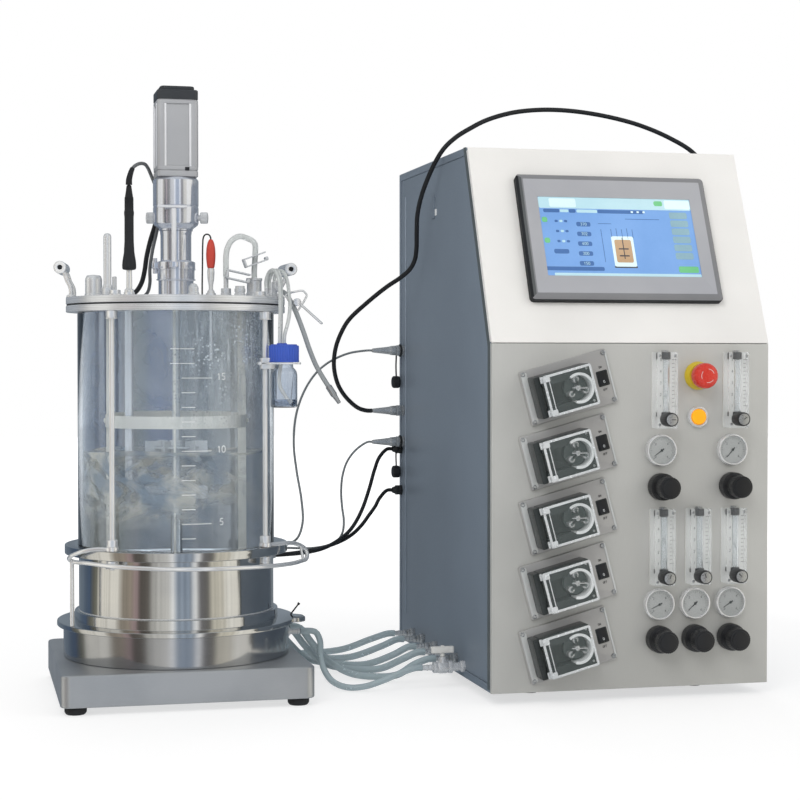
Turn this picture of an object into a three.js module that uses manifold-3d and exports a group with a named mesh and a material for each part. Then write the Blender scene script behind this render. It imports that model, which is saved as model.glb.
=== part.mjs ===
// Bench bioreactor: a stirred glass vessel on a heated steel foot, and the control cabinet beside it.
// Millimetres, +Z up, +X from the vessel towards the cabinet, +Y away from the operator.
// The origin lies on the bench, under the middle of the whole object.

import * as THREE from 'three';
import { mergeVertices } from 'three/addons/utils/BufferGeometryUtils.js';
import Module from 'manifold-3d';

const wasm = await Module();
wasm.setup();

// ---------------------------------------------------------------------------------------------
// Driving dimensions
// ---------------------------------------------------------------------------------------------

const SEAT_GAP = 0.3; // clearance between pieces that rest on or in each other
const WELD = 0.6; // depth by which parts of one piece run into each other

const CABINET = {
  width: 410, depth: 540, footHeight: 16, footRadius: 19, footInset: 80,
  lowerHeight: 483, slopeRise: 283, slopeSetback: 124,
  sheet: 2.5, returnSheet: 1.8, returnDepth: 8, returnRelief: 4, seam: 1.4,
  doorBorder: 22, doorRecess: 1.5,
};
const LATCH = { width: 17, height: 34, depth: 6, fromFront: 320, z: 711 };
const VENT = { rows: 6, columns: 1, length: 170, height: 6, pitch: 16, depth: 3, z: 560 };
const INLET = { width: 50, height: 30, depth: 18, fromLeft: 70, z: 70 };

const BASE = { size: 346, cornerRadius: 14, bevel: 3, footHeight: 11, footRadius: 15, footInset: 21, top: 55 };
const STATION_GAP = 235; // free bench between the vessel's foot and the cabinet
const VESSEL_SHIFT = 2; // the vessel stands this far right of the middle of its foot
const VESSEL_BEHIND_FASCIA = 227; // the vessel's axis lies this far behind the cabinet's front

const HEATER = { radius: 161, height: 43.4, chamfer: 1.5, outlets: 6, outletLow: 4, outletStep: 15 };
const FOOT_RING = { radius: 170, height: 7, lug: 181, lugWidth: 46 };
const SKIRT = { radius: 139, bandRadius: 145, bandHeight: 14, top: 201 };
const DISH = { radius: 134, rim: 150, bottom: 128 };
const LOWER_FLANGE = { radius: 159, height: 12.5 };
const POST = { radius: 8.6, top: 262, boreDepth: 24 };
const GLASS = { radius: 140, wall: 6, height: 329.7 };
const UPPER_FLANGE = { radius: 156, bore: 131, height: 9.2 };
const GASKET = { radius: 154, bore: 133, height: 1.5 };
const LID = { radius: 156, height: 9.9 };
const TIE_ROD = { radius: 4.5, circle: 151.5, first: 48, nutRadius: 8.2, nutHeight: 10 };
const GUARD = { wire: 2.5, eyeRadius: 9, eyeHeight: 5.4, offset: 12, radius: 171 };
const CAGE = {
  outer: 101, ring: 2.5, baffleInner: 88, baffleThickness: 3, first: -8,
  bottom: 156, bandBottom: 380, bandHeight: 17, lowBandHeight: 10,
};
const SHAFT = { radius: 6, bottom: 240, top: 652, clearance: 0.4 };
const IMPELLER = {
  heights: [292, 352], disc: 32, discThickness: 2.5, hub: 10, hubHeight: 20,
  blades: 6, bladeInner: 22, bladeOuter: 45, bladeHeight: 18, bladeThickness: 2,
};
const SEAL = { seat: 25, seatHeight: 26.5, collar: 26.5, collarHeight: 14, clamp: 27.5, clampHeight: 11, neck: 22 };
const SEAL_TOP = 660.7;
const ADAPTER = { radius: 32.5, height: 76, neck: 24, chamfer: 11, screwHeight: 19, screwRadius: 8.2 };
const MOTOR = { width: 57, corner: 9, footHeight: 8, bodyTop: 845.5, top: 866, capGroove: 1 };

const PH_PROBE = { at: [-71.9, -56], radius: 6, tip: 300, nut: 7.6, nutHeight: 9 };
const FOAM_PROBE = { at: [42.6, -57], radius: 2.6, tip: 470, nut: 7.2, nutHeight: 7 };
const PORT_CLEARANCE = 0.4;
const BLANK_PORT = { at: [-119.1, -27], radius: 11.8, height: 31 };
const THERMOWELL = { at: [-104.2, -82], radius: 5.4, top: 651, nut: 8.5, nutHeight: 11 };
const VENT_PORT = { at: [62.5, -68], radius: 3.4, top: 592 };
const FILTER_PORT = { at: [104, -60], radius: 11.4, top: 592 };
const STUB_PORT = { at: [80.2, -82], radius: 6.6, top: 580 };
const DOME_PORT = { at: [16.8, -67], radius: 7, top: 584 };
const PADDLE = { at: [-91.3, -42], width: 5.5, depth: 14, top: 593 };
const HARVEST_PORT = { at: [136, -42], radius: 4.2, top: 588, armFrom: 580, armTo: [144.5, -55, 574], arm: 3.4 };
const HANDLE = { bar: 3, foot: 147, reach: 162, halfWidth: 27, knee: 580, grip: 607, gripRadius: 9, gripHalf: 34, turn: 8 };

const BOTTLE = {
  at: [138, -108], radius: 17.5, wall: 1.6, neck: 13, bottom: 409.6, shoulder: 458, rim: 488,
  plateZ: 470, plate: 2.7, plateRadius: 21.5, clearance: 0.5,
};
const BOTTLE_CAP = { radius: 19.6, groove: 0.8, ribs: 14, height: 25, roof: 3 };
const ROD_CLAMP = { width: 15, length: 20, height: 16, out: 2.5 };

const SIDE_SOCKET = { fromFront: 515, heights: [492, 393.5, 342.5], length: 52, radius: 8, tip: 3.2 };
const SIDE_GLAND = { fromFront: 528, heights: [330, 262], radius: 8.5, length: 15 };
const RIGHT_GLAND = { fromFront: 425, z: 640, radius: 9, length: 20 };
const BASE_GLAND = { offsets: [-76.5, -56.5], z: 33, radius: 7.5, length: 16 };
const SKIRT_GLAND = { angles: [18, 27, 40, 58], heights: [186, 183, 185, 185], radius: 6.5, reach: 160 };
const HOSE_TAIL = { fromFront: [441, 378, 301, 246, 182], z: 38, base: 8, nipple: 4, length: 32, hex: 12 };
const DRAIN_VALVE = {
  fromFront: 142, z: 32, pipe: 6, pipeLength: 20, body: 18, bodyLength: 24, tail: 4, tailLength: 18,
  stem: 3.5, bonnet: 6, bonnetHeight: 6, handleLength: 34, handleWidth: 10, handleHeight: 9, stemHeight: 14,
};

const PANEL = { width: 274, height: 193, depth: 7, corner: 5, centre: 162, bevel: 3, screen: [222, 125], screenDepth: 1.4 };

const PUMP = {
  count: 5, pitch: 89.5, tilt: 15, fromLeft: 109.5, topZ: 438.4,
  plate: [130, 77, 5], head: [72, 58, 30], headAt: [-10, -1], rotorAt: [5, -2],
  chamber: 20.5, chamberDepth: 22, tubeGap: 30,
  rotor: 17, roller: 4.6, rollerCircle: 12.2, rollers: 3, axle: 3, axlePlay: 0.5, rotorDepth: 18,
  coverWall: 2, coverDepth: 8.5, knuckle: 2.6, knuckleLength: 9,
  switchAt: [51, -1], switch: [15, 20.6, 5], switchClearance: 0.5, switchTilt: 8,
};
const GAS_COLUMNS = [246, 299.5, 353]; // centre lines from the cabinet's left side
const LOWER_SHIFT = -2.5; // the lower group of gas controls stands this far to the left
const ROTAMETER = { width: 36, height: 106.5, depth: 22, bore: 5, knobRise: 13 };
const UPPER_GROUP = { columns: [0, 2], shift: 0, rotameter: 380.5, gauge: 349.4, regulator: 298.5 };
const LOWER_GROUP = { columns: [0, 1, 2], shift: LOWER_SHIFT, rotameter: 161, gauge: 133.2, regulator: 84.4 };
const FLOW_KNOB = { radius: 9.8, length: 20, stem: 3, stemDepth: 6, play: 0.5 };
const GAUGE = { radius: 22.5, depth: 9, lip: 3, recess: 2.5 };
const REGULATOR = { radius: 19, skirt: 20, cap: 13, reach: 50 };
const STOP_BUTTON = { z: 454, collar: 20, collarDepth: 11, cap: 18, depth: 38, stem: 8, travel: 5 };
const START_BUTTON = { z: 396, bezel: 13.8, bezelDepth: 5, lens: 11, lensTop: 8, travel: 2.5 };

// Places that follow from the sizes above.
const TOTAL_WIDTH = BASE.size + STATION_GAP + CABINET.width;
const BASE_X = -TOTAL_WIDTH / 2 + BASE.size / 2;
const VESSEL_X = BASE_X + VESSEL_SHIFT;
const CABINET_X = TOTAL_WIDTH / 2 - CABINET.width;
const FRONT_Y = (REGULATOR.reach - CABINET.depth) / 2;
const VESSEL_Y = FRONT_Y + VESSEL_BEHIND_FASCIA;

const HEATER_Z = BASE.top + SEAT_GAP;
const FOOT_RING_Z = HEATER_Z + HEATER.height + SEAT_GAP;
const SKIRT_Z = FOOT_RING_Z + FOOT_RING.height;
const FLANGE_TOP = SKIRT.top + LOWER_FLANGE.height;
const GLASS_Z = FLANGE_TOP + SEAT_GAP;
const UPPER_FLANGE_Z = GLASS_Z + GLASS.height + SEAT_GAP;
const GASKET_Z = UPPER_FLANGE_Z + UPPER_FLANGE.height + SEAT_GAP;
const LID_Z = GASKET_Z + GASKET.height + SEAT_GAP;
const LID_TOP = LID_Z + LID.height;
const SEAL_Z = LID_TOP + SEAT_GAP;
const ADAPTER_Z = SEAL_TOP + SEAT_GAP;
const MOTOR_Z = ADAPTER_Z + ADAPTER.height + SEAT_GAP;
const BREAK_Z = CABINET.footHeight + CABINET.lowerHeight;
const CABINET_TOP = BREAK_Z + CABINET.slopeRise;
const SLOPE = Math.atan2(CABINET.slopeSetback, CABINET.slopeRise);
const SLOPE_LENGTH = Math.hypot(CABINET.slopeSetback, CABINET.slopeRise);

// ---------------------------------------------------------------------------------------------
// Helpers: closed solids from three.js geometry, joined and cut with manifold-3d
// ---------------------------------------------------------------------------------------------

const ROUND = 26; // sides of the large rings
const MEDIUM = 12;
const BORE = 12; // sides of a turning shaft and of the bore around it
const SMALL = 8;
const TINY = 8;
const FLAT = 0.002; // faces this close to one plane become one face
const Y_AXIS = new THREE.Vector3(0, 1, 0);
const radians = THREE.MathUtils.degToRad;

function polar(radius, degrees) {
  return [radius * Math.cos(radians(degrees)), radius * Math.sin(radians(degrees))];
}

/** Six times the volume that the triangles enclose, negative where they face inwards. */
function windingVolume(points, triangles) {
  let sum = 0;
  const corner = (i) => new THREE.Vector3().fromArray(points, 3 * triangles[i]);
  for (let i = 0; i < triangles.length; i += 3) {
    sum += corner(i).dot(corner(i + 1).cross(corner(i + 2)));
  }
  return sum;
}

/** A closed geometry as a solid whose faces point outwards. */
function toSolid(geometry) {
  const bare = geometry.clone();
  bare.deleteAttribute('normal');
  bare.deleteAttribute('uv');
  const merged = mergeVertices(bare, 1e-4);
  const points = Float32Array.from(merged.attributes.position.array);
  const corners = merged.index.array;
  const triangles = [];
  for (let i = 0; i < corners.length; i += 3) {
    const [a, b, c] = [corners[i], corners[i + 1], corners[i + 2]];
    if (a !== b && b !== c && c !== a) triangles.push(a, b, c);
  }
  if (windingVolume(points, triangles) < 0) triangles.reverse();
  const mesh = new wasm.Mesh({ numProp: 3, vertProperties: points, triVerts: Uint32Array.from(triangles) });
  return new wasm.Manifold(mesh);
}

function fromSolid(solid) {
  const mesh = solid.asOriginal().simplify(FLAT).getMesh();
  const geometry = new THREE.BufferGeometry();
  geometry.setAttribute('position', new THREE.BufferAttribute(Float32Array.from(mesh.vertProperties), 3));
  geometry.setIndex(Array.from(mesh.triVerts));
  return geometry;
}

function join(...geometries) {
  return fromSolid(geometries.flat().map(toSolid).reduce((whole, piece) => whole.add(piece)));
}

function cut(geometry, ...tools) {
  return fromSolid(tools.flat().map(toSolid).reduce((rest, tool) => rest.subtract(tool), toSolid(geometry)));
}

/** A turned body around Z from a [radius, z] outline that starts and ends on the axis or closes. */
function turned(outline, sides = MEDIUM) {
  const profile = outline.map(([radius, z]) => new THREE.Vector2(radius, z));
  return new THREE.LatheGeometry(profile, sides).rotateX(Math.PI / 2);
}

/** A turned body whose [radius, height] outline grows from its seat towards -Y, +Y, -X or +X. */
function turnedTowards(direction, outline, sides = MEDIUM) {
  const profile = outline.map(([radius, height]) => new THREE.Vector2(radius, height));
  const body = new THREE.LatheGeometry(profile, sides);
  const turns = { front: [Math.PI, 0], back: [0, 0], left: [0, Math.PI / 2], right: [0, -Math.PI / 2] };
  const [aboutX, aboutZ] = turns[direction];
  return body.rotateX(aboutX).rotateZ(aboutZ);
}

function cylinder(radius, bottom, top, sides = SMALL) {
  return new THREE.CylinderGeometry(radius, radius, top - bottom, sides)
    .rotateX(Math.PI / 2).translate(0, 0, (bottom + top) / 2);
}

function slab([x0, x1], [y0, y1], [z0, z1]) {
  return new THREE.BoxGeometry(x1 - x0, y1 - y0, z1 - z0)
    .translate((x0 + x1) / 2, (y0 + y1) / 2, (z0 + z1) / 2);
}

function bar(from, to, radius, sides = TINY) {
  const start = new THREE.Vector3(...from);
  const run = new THREE.Vector3(...to).sub(start);
  const turn = new THREE.Quaternion().setFromUnitVectors(Y_AXIS, run.clone().normalize());
  return new THREE.CylinderGeometry(radius, radius, run.length(), sides)
    .applyQuaternion(turn).translate(...start.addScaledVector(run, 0.5).toArray());
}

function roundedRectangle(width, height, radius, centre = [0, 0]) {
  const [x, y] = [centre[0] + width / 2, centre[1] + height / 2];
  const [left, low] = [x - width, y - height];
  const shape = new THREE.Shape();
  shape.moveTo(left + radius, low);
  shape.lineTo(x - radius, low).absarc(x - radius, low + radius, radius, -Math.PI / 2, 0);
  shape.lineTo(x, y - radius).absarc(x - radius, y - radius, radius, 0, Math.PI / 2);
  shape.lineTo(left + radius, y).absarc(left + radius, y - radius, radius, Math.PI / 2, Math.PI);
  shape.lineTo(left, low + radius).absarc(left + radius, low + radius, radius, Math.PI, Math.PI * 1.5);
  return shape;
}

function chamferedRectangle(width, height, chamfer, [x, y] = [0, 0]) {
  const [w, h] = [width / 2, height / 2];
  const corners = [
    [w, chamfer - h], [w, h - chamfer], [w - chamfer, h], [chamfer - w, h],
    [-w, h - chamfer], [-w, chamfer - h], [chamfer - w, -h], [w - chamfer, -h],
  ];
  return polygon(corners.map(([across, up]) => [x + across, y + up]));
}

function polygon(corners) {
  return new THREE.Shape(corners.map(([x, y]) => new THREE.Vector2(x, y)));
}

function circleShape(radius, sides) {
  return polygon(Array.from({ length: sides }, (_, i) => polar(radius, (360 * i) / sides)));
}

/** A flat outline raised along Z, its edges broken by a bevel that stays inside the outline. */
function prism(shape, bottom, top, bevel = 0, curveSegments = 2) {
  const options = { depth: top - bottom - 2 * bevel, curveSegments, bevelEnabled: bevel > 0 };
  const edges = { bevelThickness: bevel, bevelSize: bevel, bevelOffset: -bevel, bevelSegments: 1 };
  return new THREE.ExtrudeGeometry(shape, { ...options, ...edges }).translate(0, 0, bottom + bevel);
}

/** The same for an outline in the X-Z plane that grows towards the operator, -Y. */
function raisedFront(shape, from, to, bevel = 0, curveSegments = 1) {
  return prism(shape, from, to, bevel, curveSegments).rotateX(Math.PI / 2);
}

/** The same for an outline in the Y-Z plane that runs along X. */
function acrossX(shape, from, to) {
  const turn = new THREE.Matrix4().makeBasis(Y_AXIS, new THREE.Vector3(0, 0, 1), new THREE.Vector3(1, 0, 0));
  return prism(shape, from, to).applyMatrix4(turn);
}

/** A round wire or tube along a smooth curve through the points. */
function wire(points, radius, sides, steps) {
  const path = new THREE.CatmullRomCurve3(points.map((point) => new THREE.Vector3(...point)), false, 'centripetal');
  return new THREE.ExtrudeGeometry(circleShape(radius, sides), { steps, extrudePath: path, bevelEnabled: false });
}

function hexagon(radius, bottom, top) {
  return cylinder(radius, bottom, top, 6);
}

function at([x, y], geometry) {
  return geometry.translate(x, y, 0);
}

const FINISHES = {
  satinSteel: { color: 0xb9bcbe, roughness: 0.38, metalness: 0.9 },
  polishedSteel: { color: 0xd2d5d6, roughness: 0.12, metalness: 1.0 },
  brushedPanel: { color: 0xa3a3a0, roughness: 0.45, metalness: 0.55 },
  whitePaint: { color: 0xe9e8e2, roughness: 0.4, metalness: 0.0 },
  slatePaint: { color: 0x6b7682, roughness: 0.42, metalness: 0.2 },
  glass: { color: 0xdfe8ea, roughness: 0.04, metalness: 0.0, transparent: true, opacity: 0.3 },
  clearPlastic: { color: 0xe6eaea, roughness: 0.1, metalness: 0.0, transparent: true, opacity: 0.35 },
  blackRubber: { color: 0x1b1c1e, roughness: 0.65, metalness: 0.0 },
  blackPlastic: { color: 0x18191b, roughness: 0.35, metalness: 0.0 },
  darkFrame: { color: 0x3a3d40, roughness: 0.4, metalness: 0.0 },
  redPlastic: { color: 0xc4302a, roughness: 0.3, metalness: 0.0 },
  amberLens: { color: 0xefaa2c, roughness: 0.25, metalness: 0.0 },
  bluePlastic: { color: 0x3d5db8, roughness: 0.4, metalness: 0.0 },
  silicone: { color: 0xdcdedb, roughness: 0.35, metalness: 0.0 },
  greyTube: { color: 0x9da2a3, roughness: 0.4, metalness: 0.0 },
  whitePlastic: { color: 0xeeeeea, roughness: 0.4, metalness: 0.0 },
};

// The gland on the cabinet's right side counts in the overall width.
const bioreactor = new THREE.Group();
bioreactor.position.set(-RIGHT_GLAND.length / 2, 0, 0);

function addPiece(parent, name, geometry, finish, position = [0, 0, 0], rotation = [0, 0, 0]) {
  const mesh = new THREE.Mesh(geometry, new THREE.MeshStandardMaterial({ ...FINISHES[finish], flatShading: true }));
  mesh.name = name;
  mesh.position.set(...position);
  mesh.rotation.set(...rotation.map(radians));
  parent.add(mesh);
  return mesh;
}

// ---------------------------------------------------------------------------------------------
// Vessel: foot, heater, steel bottom, glass, flanges, guard and baffle cage
// ---------------------------------------------------------------------------------------------

function basePlate() {
  const half = BASE.size / 2;
  const centre = [-VESSEL_SHIFT, 0];
  const outline = roundedRectangle(BASE.size, BASE.size, BASE.cornerRadius, centre);
  const plate = prism(outline, BASE.footHeight, BASE.top, BASE.bevel, 2);
  const spread = half - BASE.footInset;
  const feet = [[-1, -1], [1, -1], [1, 1], [-1, 1]].map(([x, y]) => at(
    [centre[0] + x * spread, y * spread], cylinder(BASE.footRadius, 0, BASE.footHeight + WELD)));
  const outline2 = [[0, -WELD], [BASE_GLAND.radius, -WELD], [BASE_GLAND.radius, 9], [5, BASE_GLAND.length], [0, BASE_GLAND.length]];
  const glands = BASE_GLAND.offsets.map((x) => turnedTowards('back', outline2, TINY)
    .translate(x, half, BASE_GLAND.z));
  return join(plate, feet, glands);
}

/** Hose tails around the right and back of the heater, where the water hoses arrive. */
function heaterOutlets() {
  return Array.from({ length: HEATER.outlets }, (_, i) => {
    const angle = HEATER.outletLow + i * HEATER.outletStep;
    const z = HEATER_Z + HEATER.height / 2;
    const [inner, step, outer] = [HEATER.radius - 3, HEATER.radius + 6, HEATER.radius + 22];
    const [a, b, c] = [inner, step, outer].map((radius) => [...polar(radius, angle), z]);
    return [bar(a, b, HOSE_TAIL.base - 1, 6), bar(a, c, HOSE_TAIL.nipple, 6)];
  }).flat();
}

function heaterDrum() {
  const { radius, height, chamfer } = HEATER;
  const top = HEATER_Z + height;
  const outline = [
    [0, HEATER_Z], [radius - chamfer, HEATER_Z], [radius, HEATER_Z + chamfer],
    [radius, top - chamfer], [radius - chamfer, top], [0, top],
  ];
  return join(turned(outline, ROUND), heaterOutlets());
}

/** The steel bottom: foot ring with its lug, skirt, flange, and the dish with the foot bearing's post. */
function vesselBottom() {
  const dishWall = DISH.rim - DISH.bottom;
  const dish = [90, 50, 20, 0].map((angle) => {
    const [across, down] = polar(1, angle - 90);
    return [DISH.radius * across, DISH.rim + dishWall * down];
  });
  const outline = [
    [0, FOOT_RING_Z], [FOOT_RING.radius, FOOT_RING_Z], [FOOT_RING.radius, SKIRT_Z],
    [SKIRT.bandRadius, SKIRT_Z], [SKIRT.bandRadius, SKIRT_Z + SKIRT.bandHeight],
    [SKIRT.radius, SKIRT_Z + SKIRT.bandHeight], [SKIRT.radius, SKIRT.top],
    [LOWER_FLANGE.radius, SKIRT.top], [LOWER_FLANGE.radius, FLANGE_TOP], [DISH.radius, FLANGE_TOP],
    ...dish,
  ];
  const lug = prism(chamferedRectangle(FOOT_RING.lug, FOOT_RING.lugWidth, 10, [FOOT_RING.lug / 2, -30]), FOOT_RING_Z, SKIRT_Z);
  const post = cylinder(POST.radius, DISH.bottom - WELD, POST.top, BORE);
  const bore = cylinder(SHAFT.radius + SHAFT.clearance, POST.top - POST.boreDepth, POST.top + WELD, BORE);
  const glands = SKIRT_GLAND.angles.map((angle, i) => {
    const [inner, outer] = [SKIRT.radius - 2, SKIRT_GLAND.reach].map((radius) => polar(radius, angle));
    const z = SKIRT_GLAND.heights[i];
    return bar([...inner, z], [...outer, z], SKIRT_GLAND.radius, 6);
  });
  const rodHoles = rodAngles().map((angle) => at(
    polar(TIE_ROD.circle, angle), cylinder(TIE_ROD.radius + SHAFT.clearance, SKIRT.top - WELD, FLANGE_TOP + WELD, 6)));
  return cut(join(turned(outline, ROUND), lug, post, glands), bore, rodHoles);
}

function glassCylinder() {
  const inner = GLASS.radius - GLASS.wall;
  const top = GLASS_Z + GLASS.height;
  return turned([[inner, GLASS_Z], [GLASS.radius, GLASS_Z], [GLASS.radius, top], [inner, top], [inner, GLASS_Z]], ROUND);
}

function rodAngles() {
  return [0, 1, 2, 3].map((i) => TIE_ROD.first + 90 * i);
}

/** The plate that holds the sample bottle by its neck, with the block that grips the tie rod. */
function bottleBracket() {
  const rod = polar(TIE_ROD.circle, TIE_ROD.first - 90);
  const middle = BOTTLE.plateZ + BOTTLE.plate / 2;
  const low = middle - ROD_CLAMP.height / 2;
  const { length, width: thick, height, out } = ROD_CLAMP;
  const block = at(rod, slab([out - length / 2, out + length / 2], [-out - thick / 2, thick / 2 - out], [low, low + height]));
  const width = 2 * BOTTLE.plateRadius;
  const reach = roundedRectangle(width + 6, width, 6, [BOTTLE.at[0] - 3, BOTTLE.at[1]]);
  const plate = prism(reach, BOTTLE.plateZ, BOTTLE.plateZ + BOTTLE.plate);
  const hole = at(BOTTLE.at, cylinder(BOTTLE.neck + BOTTLE.clearance, BOTTLE.plateZ - 9, BOTTLE.plateZ + 9, MEDIUM));
  const room = at(BOTTLE.at, cylinder(BOTTLE.radius + BOTTLE.clearance + 0.5, low - 1, BOTTLE.plateZ, MEDIUM));
  const capRoom = at(BOTTLE.at, cylinder(BOTTLE_CAP.radius + BOTTLE.clearance, BOTTLE.plateZ + BOTTLE.plate, low + ROD_CLAMP.height + 1, MEDIUM));
  return { body: [block, plate], holes: [hole, room, capRoom] };
}

/** The upper flange with its four tie rods, their nuts and the bottle bracket on the front right rod. */
function upperFlange() {
  const top = UPPER_FLANGE_Z + UPPER_FLANGE.height;
  const { radius, bore } = UPPER_FLANGE;
  const ring = turned([[bore, UPPER_FLANGE_Z], [radius, UPPER_FLANGE_Z], [radius, top], [bore, top], [bore, UPPER_FLANGE_Z]], ROUND);
  const nutSeat = FLANGE_TOP + SEAT_GAP + GUARD.eyeHeight + SEAT_GAP;
  const under = SKIRT.top - SEAT_GAP;
  const rods = rodAngles().map((angle) => {
    const place = polar(TIE_ROD.circle, angle);
    return [
      at(place, cylinder(TIE_ROD.radius, under - TIE_ROD.nutHeight, UPPER_FLANGE_Z + WELD, 6)),
      at(place, hexagon(TIE_ROD.nutRadius, nutSeat, nutSeat + TIE_ROD.nutHeight)),
      at(place, hexagon(TIE_ROD.nutRadius, under - TIE_ROD.nutHeight, under)),
    ];
  }).flat();
  const bracket = bottleBracket();
  return cut(join(ring, rods, bracket.body), bracket.holes);
}

function gasketRing() {
  const top = GASKET_Z + GASKET.height;
  const { radius, bore } = GASKET;
  return turned([[bore, GASKET_Z], [radius, GASKET_Z], [radius, top], [bore, top], [bore, GASKET_Z]], ROUND);
}

/** One end of the guard: an eye that slips over a tie rod. */
function guardEye(angle) {
  const bottom = FLANGE_TOP + SEAT_GAP;
  const place = polar(TIE_ROD.circle, angle);
  const ring = at(place, cylinder(GUARD.eyeRadius, bottom, bottom + GUARD.eyeHeight, SMALL));
  const hole = at(place, cylinder(TIE_ROD.radius + SHAFT.clearance, bottom - 1, bottom + GUARD.eyeHeight + 1, 6));
  return { ring, hole };
}

/** The round wire guard: from one front tie rod out and down, around the front, and back to the other. */
function wireGuard() {
  const eyeZ = FLANGE_TOP + SEAT_GAP + GUARD.eyeHeight / 2;
  const arc = (degrees, z) => {
    const [x, y] = polar(GUARD.radius, degrees);
    return [x + GUARD.offset, y, z];
  };
  const route = [
    [-108, -112, eyeZ], [-122, -106, eyeZ], [-137, -98, 214], [-149, -86, 209], [-156, -75, 204],
    [-157, -67, 199.5], [-152, -66, 196.5], arc(212, 196), arc(226, 195), arc(242, 194), arc(260, 193), arc(278, 192.5),
    arc(296, 191.5), arc(312, 190.5), arc(326, 189.5), arc(337, 189), [179, -56, 190.5], [182, -49, 196],
    [180, -48, 203], [173, -54, 209], [162, -64, 214], [149, -78, eyeZ], [135, -88, eyeZ], [119, -98, eyeZ],
  ];
  const hoop = wire(route, GUARD.wire, 6, 44);
  const leg = bar([-153, -66, SKIRT_Z + SEAT_GAP], [-153, -66, 199], GUARD.wire, 6);
  const link = bar([174, -61.5, 189.5], [171, -56, 209.5], GUARD.wire * 0.8, 6);
  const eyes = [TIE_ROD.first + 180, TIE_ROD.first - 90].map(guardEye);
  return cut(join(hoop, leg, link, eyes.map((eye) => eye.ring)), eyes.map((eye) => eye.hole));
}

/** Four baffles on two hoops; the baffles' upper ends meet the underside of the lid. */
function baffleCage() {
  const { outer, ring, baffleInner, baffleThickness } = CAGE;
  const inner = outer - ring;
  const hoop = (low, high) => turned([[inner, low], [outer, low], [outer, high], [inner, high], [inner, low]], 24);
  const half = baffleThickness / 2;
  const baffles = [0, 1, 2, 3].map((i) => slab([baffleInner, outer - 1], [-half, half], [CAGE.bottom, LID_Z - SEAT_GAP])
    .rotateZ(radians(CAGE.first + 90 * i)));
  const low = CAGE.bottom + CAGE.lowBandHeight;
  return join(hoop(low, low + CAGE.lowBandHeight), hoop(CAGE.bandBottom, CAGE.bandBottom + CAGE.bandHeight), baffles);
}

/** Shaft with two six-bladed disc impellers. */
function agitator() {
  const shaft = cylinder(SHAFT.radius, SHAFT.bottom, SHAFT.top, BORE);
  const half = IMPELLER.bladeThickness / 2;
  const impellers = IMPELLER.heights.map((z) => {
    const disc = cylinder(IMPELLER.disc, z - IMPELLER.discThickness / 2, z + IMPELLER.discThickness / 2, BORE);
    const hub = cylinder(IMPELLER.hub, z - IMPELLER.hubHeight / 2, z + IMPELLER.hubHeight / 2, SMALL);
    const blades = Array.from({ length: IMPELLER.blades }, (_, i) => slab(
      [IMPELLER.bladeInner, IMPELLER.bladeOuter], [-half, half], [z - IMPELLER.bladeHeight / 2, z + IMPELLER.bladeHeight / 2])
      .rotateZ(radians((360 * i) / IMPELLER.blades)));
    return [disc, hub, blades].flat();
  }).flat();
  return join(shaft, impellers);
}

// ---------------------------------------------------------------------------------------------
// Lid, its ports and probes, and the drive above it
// ---------------------------------------------------------------------------------------------

/** Two bent legs on the lid's rim and a thick round grip across their ends, turned a little about the lid. */
function lidHandle(side, turn) {
  const { foot, reach, halfWidth, knee, grip, gripRadius, gripHalf } = HANDLE;
  const leg = (y) => {
    const path = [
      [foot, LID_TOP - 1], [foot, knee - 6], [foot + 1, knee], [foot + 6, knee + 10], [reach - 6, grip - 8], [reach, grip],
    ];
    return wire(path.map(([x, z]) => [side * x, y, z]), HANDLE.bar, 6, 8);
  };
  const roller = bar([side * reach, -gripHalf, grip], [side * reach, gripHalf, grip], gripRadius, MEDIUM);
  return [leg(-halfWidth), leg(halfWidth), roller].map((piece) => piece.rotateZ(radians(turn)));
}

function port({ at: place, radius, top }, sides = SMALL) {
  return at(place, cylinder(radius, LID_TOP - WELD, top, sides));
}

function thermowell() {
  const { at: place, radius, top, nut, nutHeight } = THERMOWELL;
  const dome = [[0, LID_TOP - WELD], [radius, LID_TOP - WELD], [radius, top - 4], [radius * 0.7, top - 1], [0, top]];
  return [at(place, turned(dome, TINY)), at(place, hexagon(nut, LID_TOP - WELD, LID_TOP + nutHeight))];
}

function blankPort() {
  const { at: place, radius, height } = BLANK_PORT;
  const top = LID_TOP + height;
  const outline = [
    [0, LID_TOP - WELD], [radius - 2, LID_TOP - WELD], [radius, LID_TOP + 4], [radius, top - 5],
    [radius - 2.5, top - 1], [radius - 5, top], [0, top],
  ];
  return at(place, turned(outline, SMALL));
}

function lidPlate() {
  const outline = [[0, LID_Z], [LID.radius, LID_Z], [LID.radius, LID_TOP - 1], [LID.radius - 1, LID_TOP], [0, LID_TOP]];
  const paddle = slab([-PADDLE.width / 2, PADDLE.width / 2], [-PADDLE.depth / 2, PADDLE.depth / 2], [LID_TOP - WELD, PADDLE.top]);
  const rodNuts = rodAngles().map((angle) => at(polar(TIE_ROD.circle - 8, angle), hexagon(TIE_ROD.nutRadius, LID_TOP - WELD, LID_TOP + 7)));
  const hole = (place, radius) => at(place, cylinder(radius + PORT_CLEARANCE, LID_Z - 1, LID_TOP + 1, BORE));
  const body = join(
    turned(outline, ROUND), lidHandle(1, 0), lidHandle(-1, -HANDLE.turn), thermowell(), blankPort(), at(PADDLE.at, paddle),
    port(VENT_PORT, TINY), port(FILTER_PORT, MEDIUM), port(STUB_PORT), port(DOME_PORT), port(HARVEST_PORT, TINY),
    bar([...HARVEST_PORT.at, HARVEST_PORT.armFrom], HARVEST_PORT.armTo, HARVEST_PORT.arm, TINY), rodNuts,
  );
  return cut(body, hole([0, 0], SHAFT.radius), hole(PH_PROBE.at, PH_PROBE.radius), hole(FOAM_PROBE.at, FOAM_PROBE.radius));
}

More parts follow.
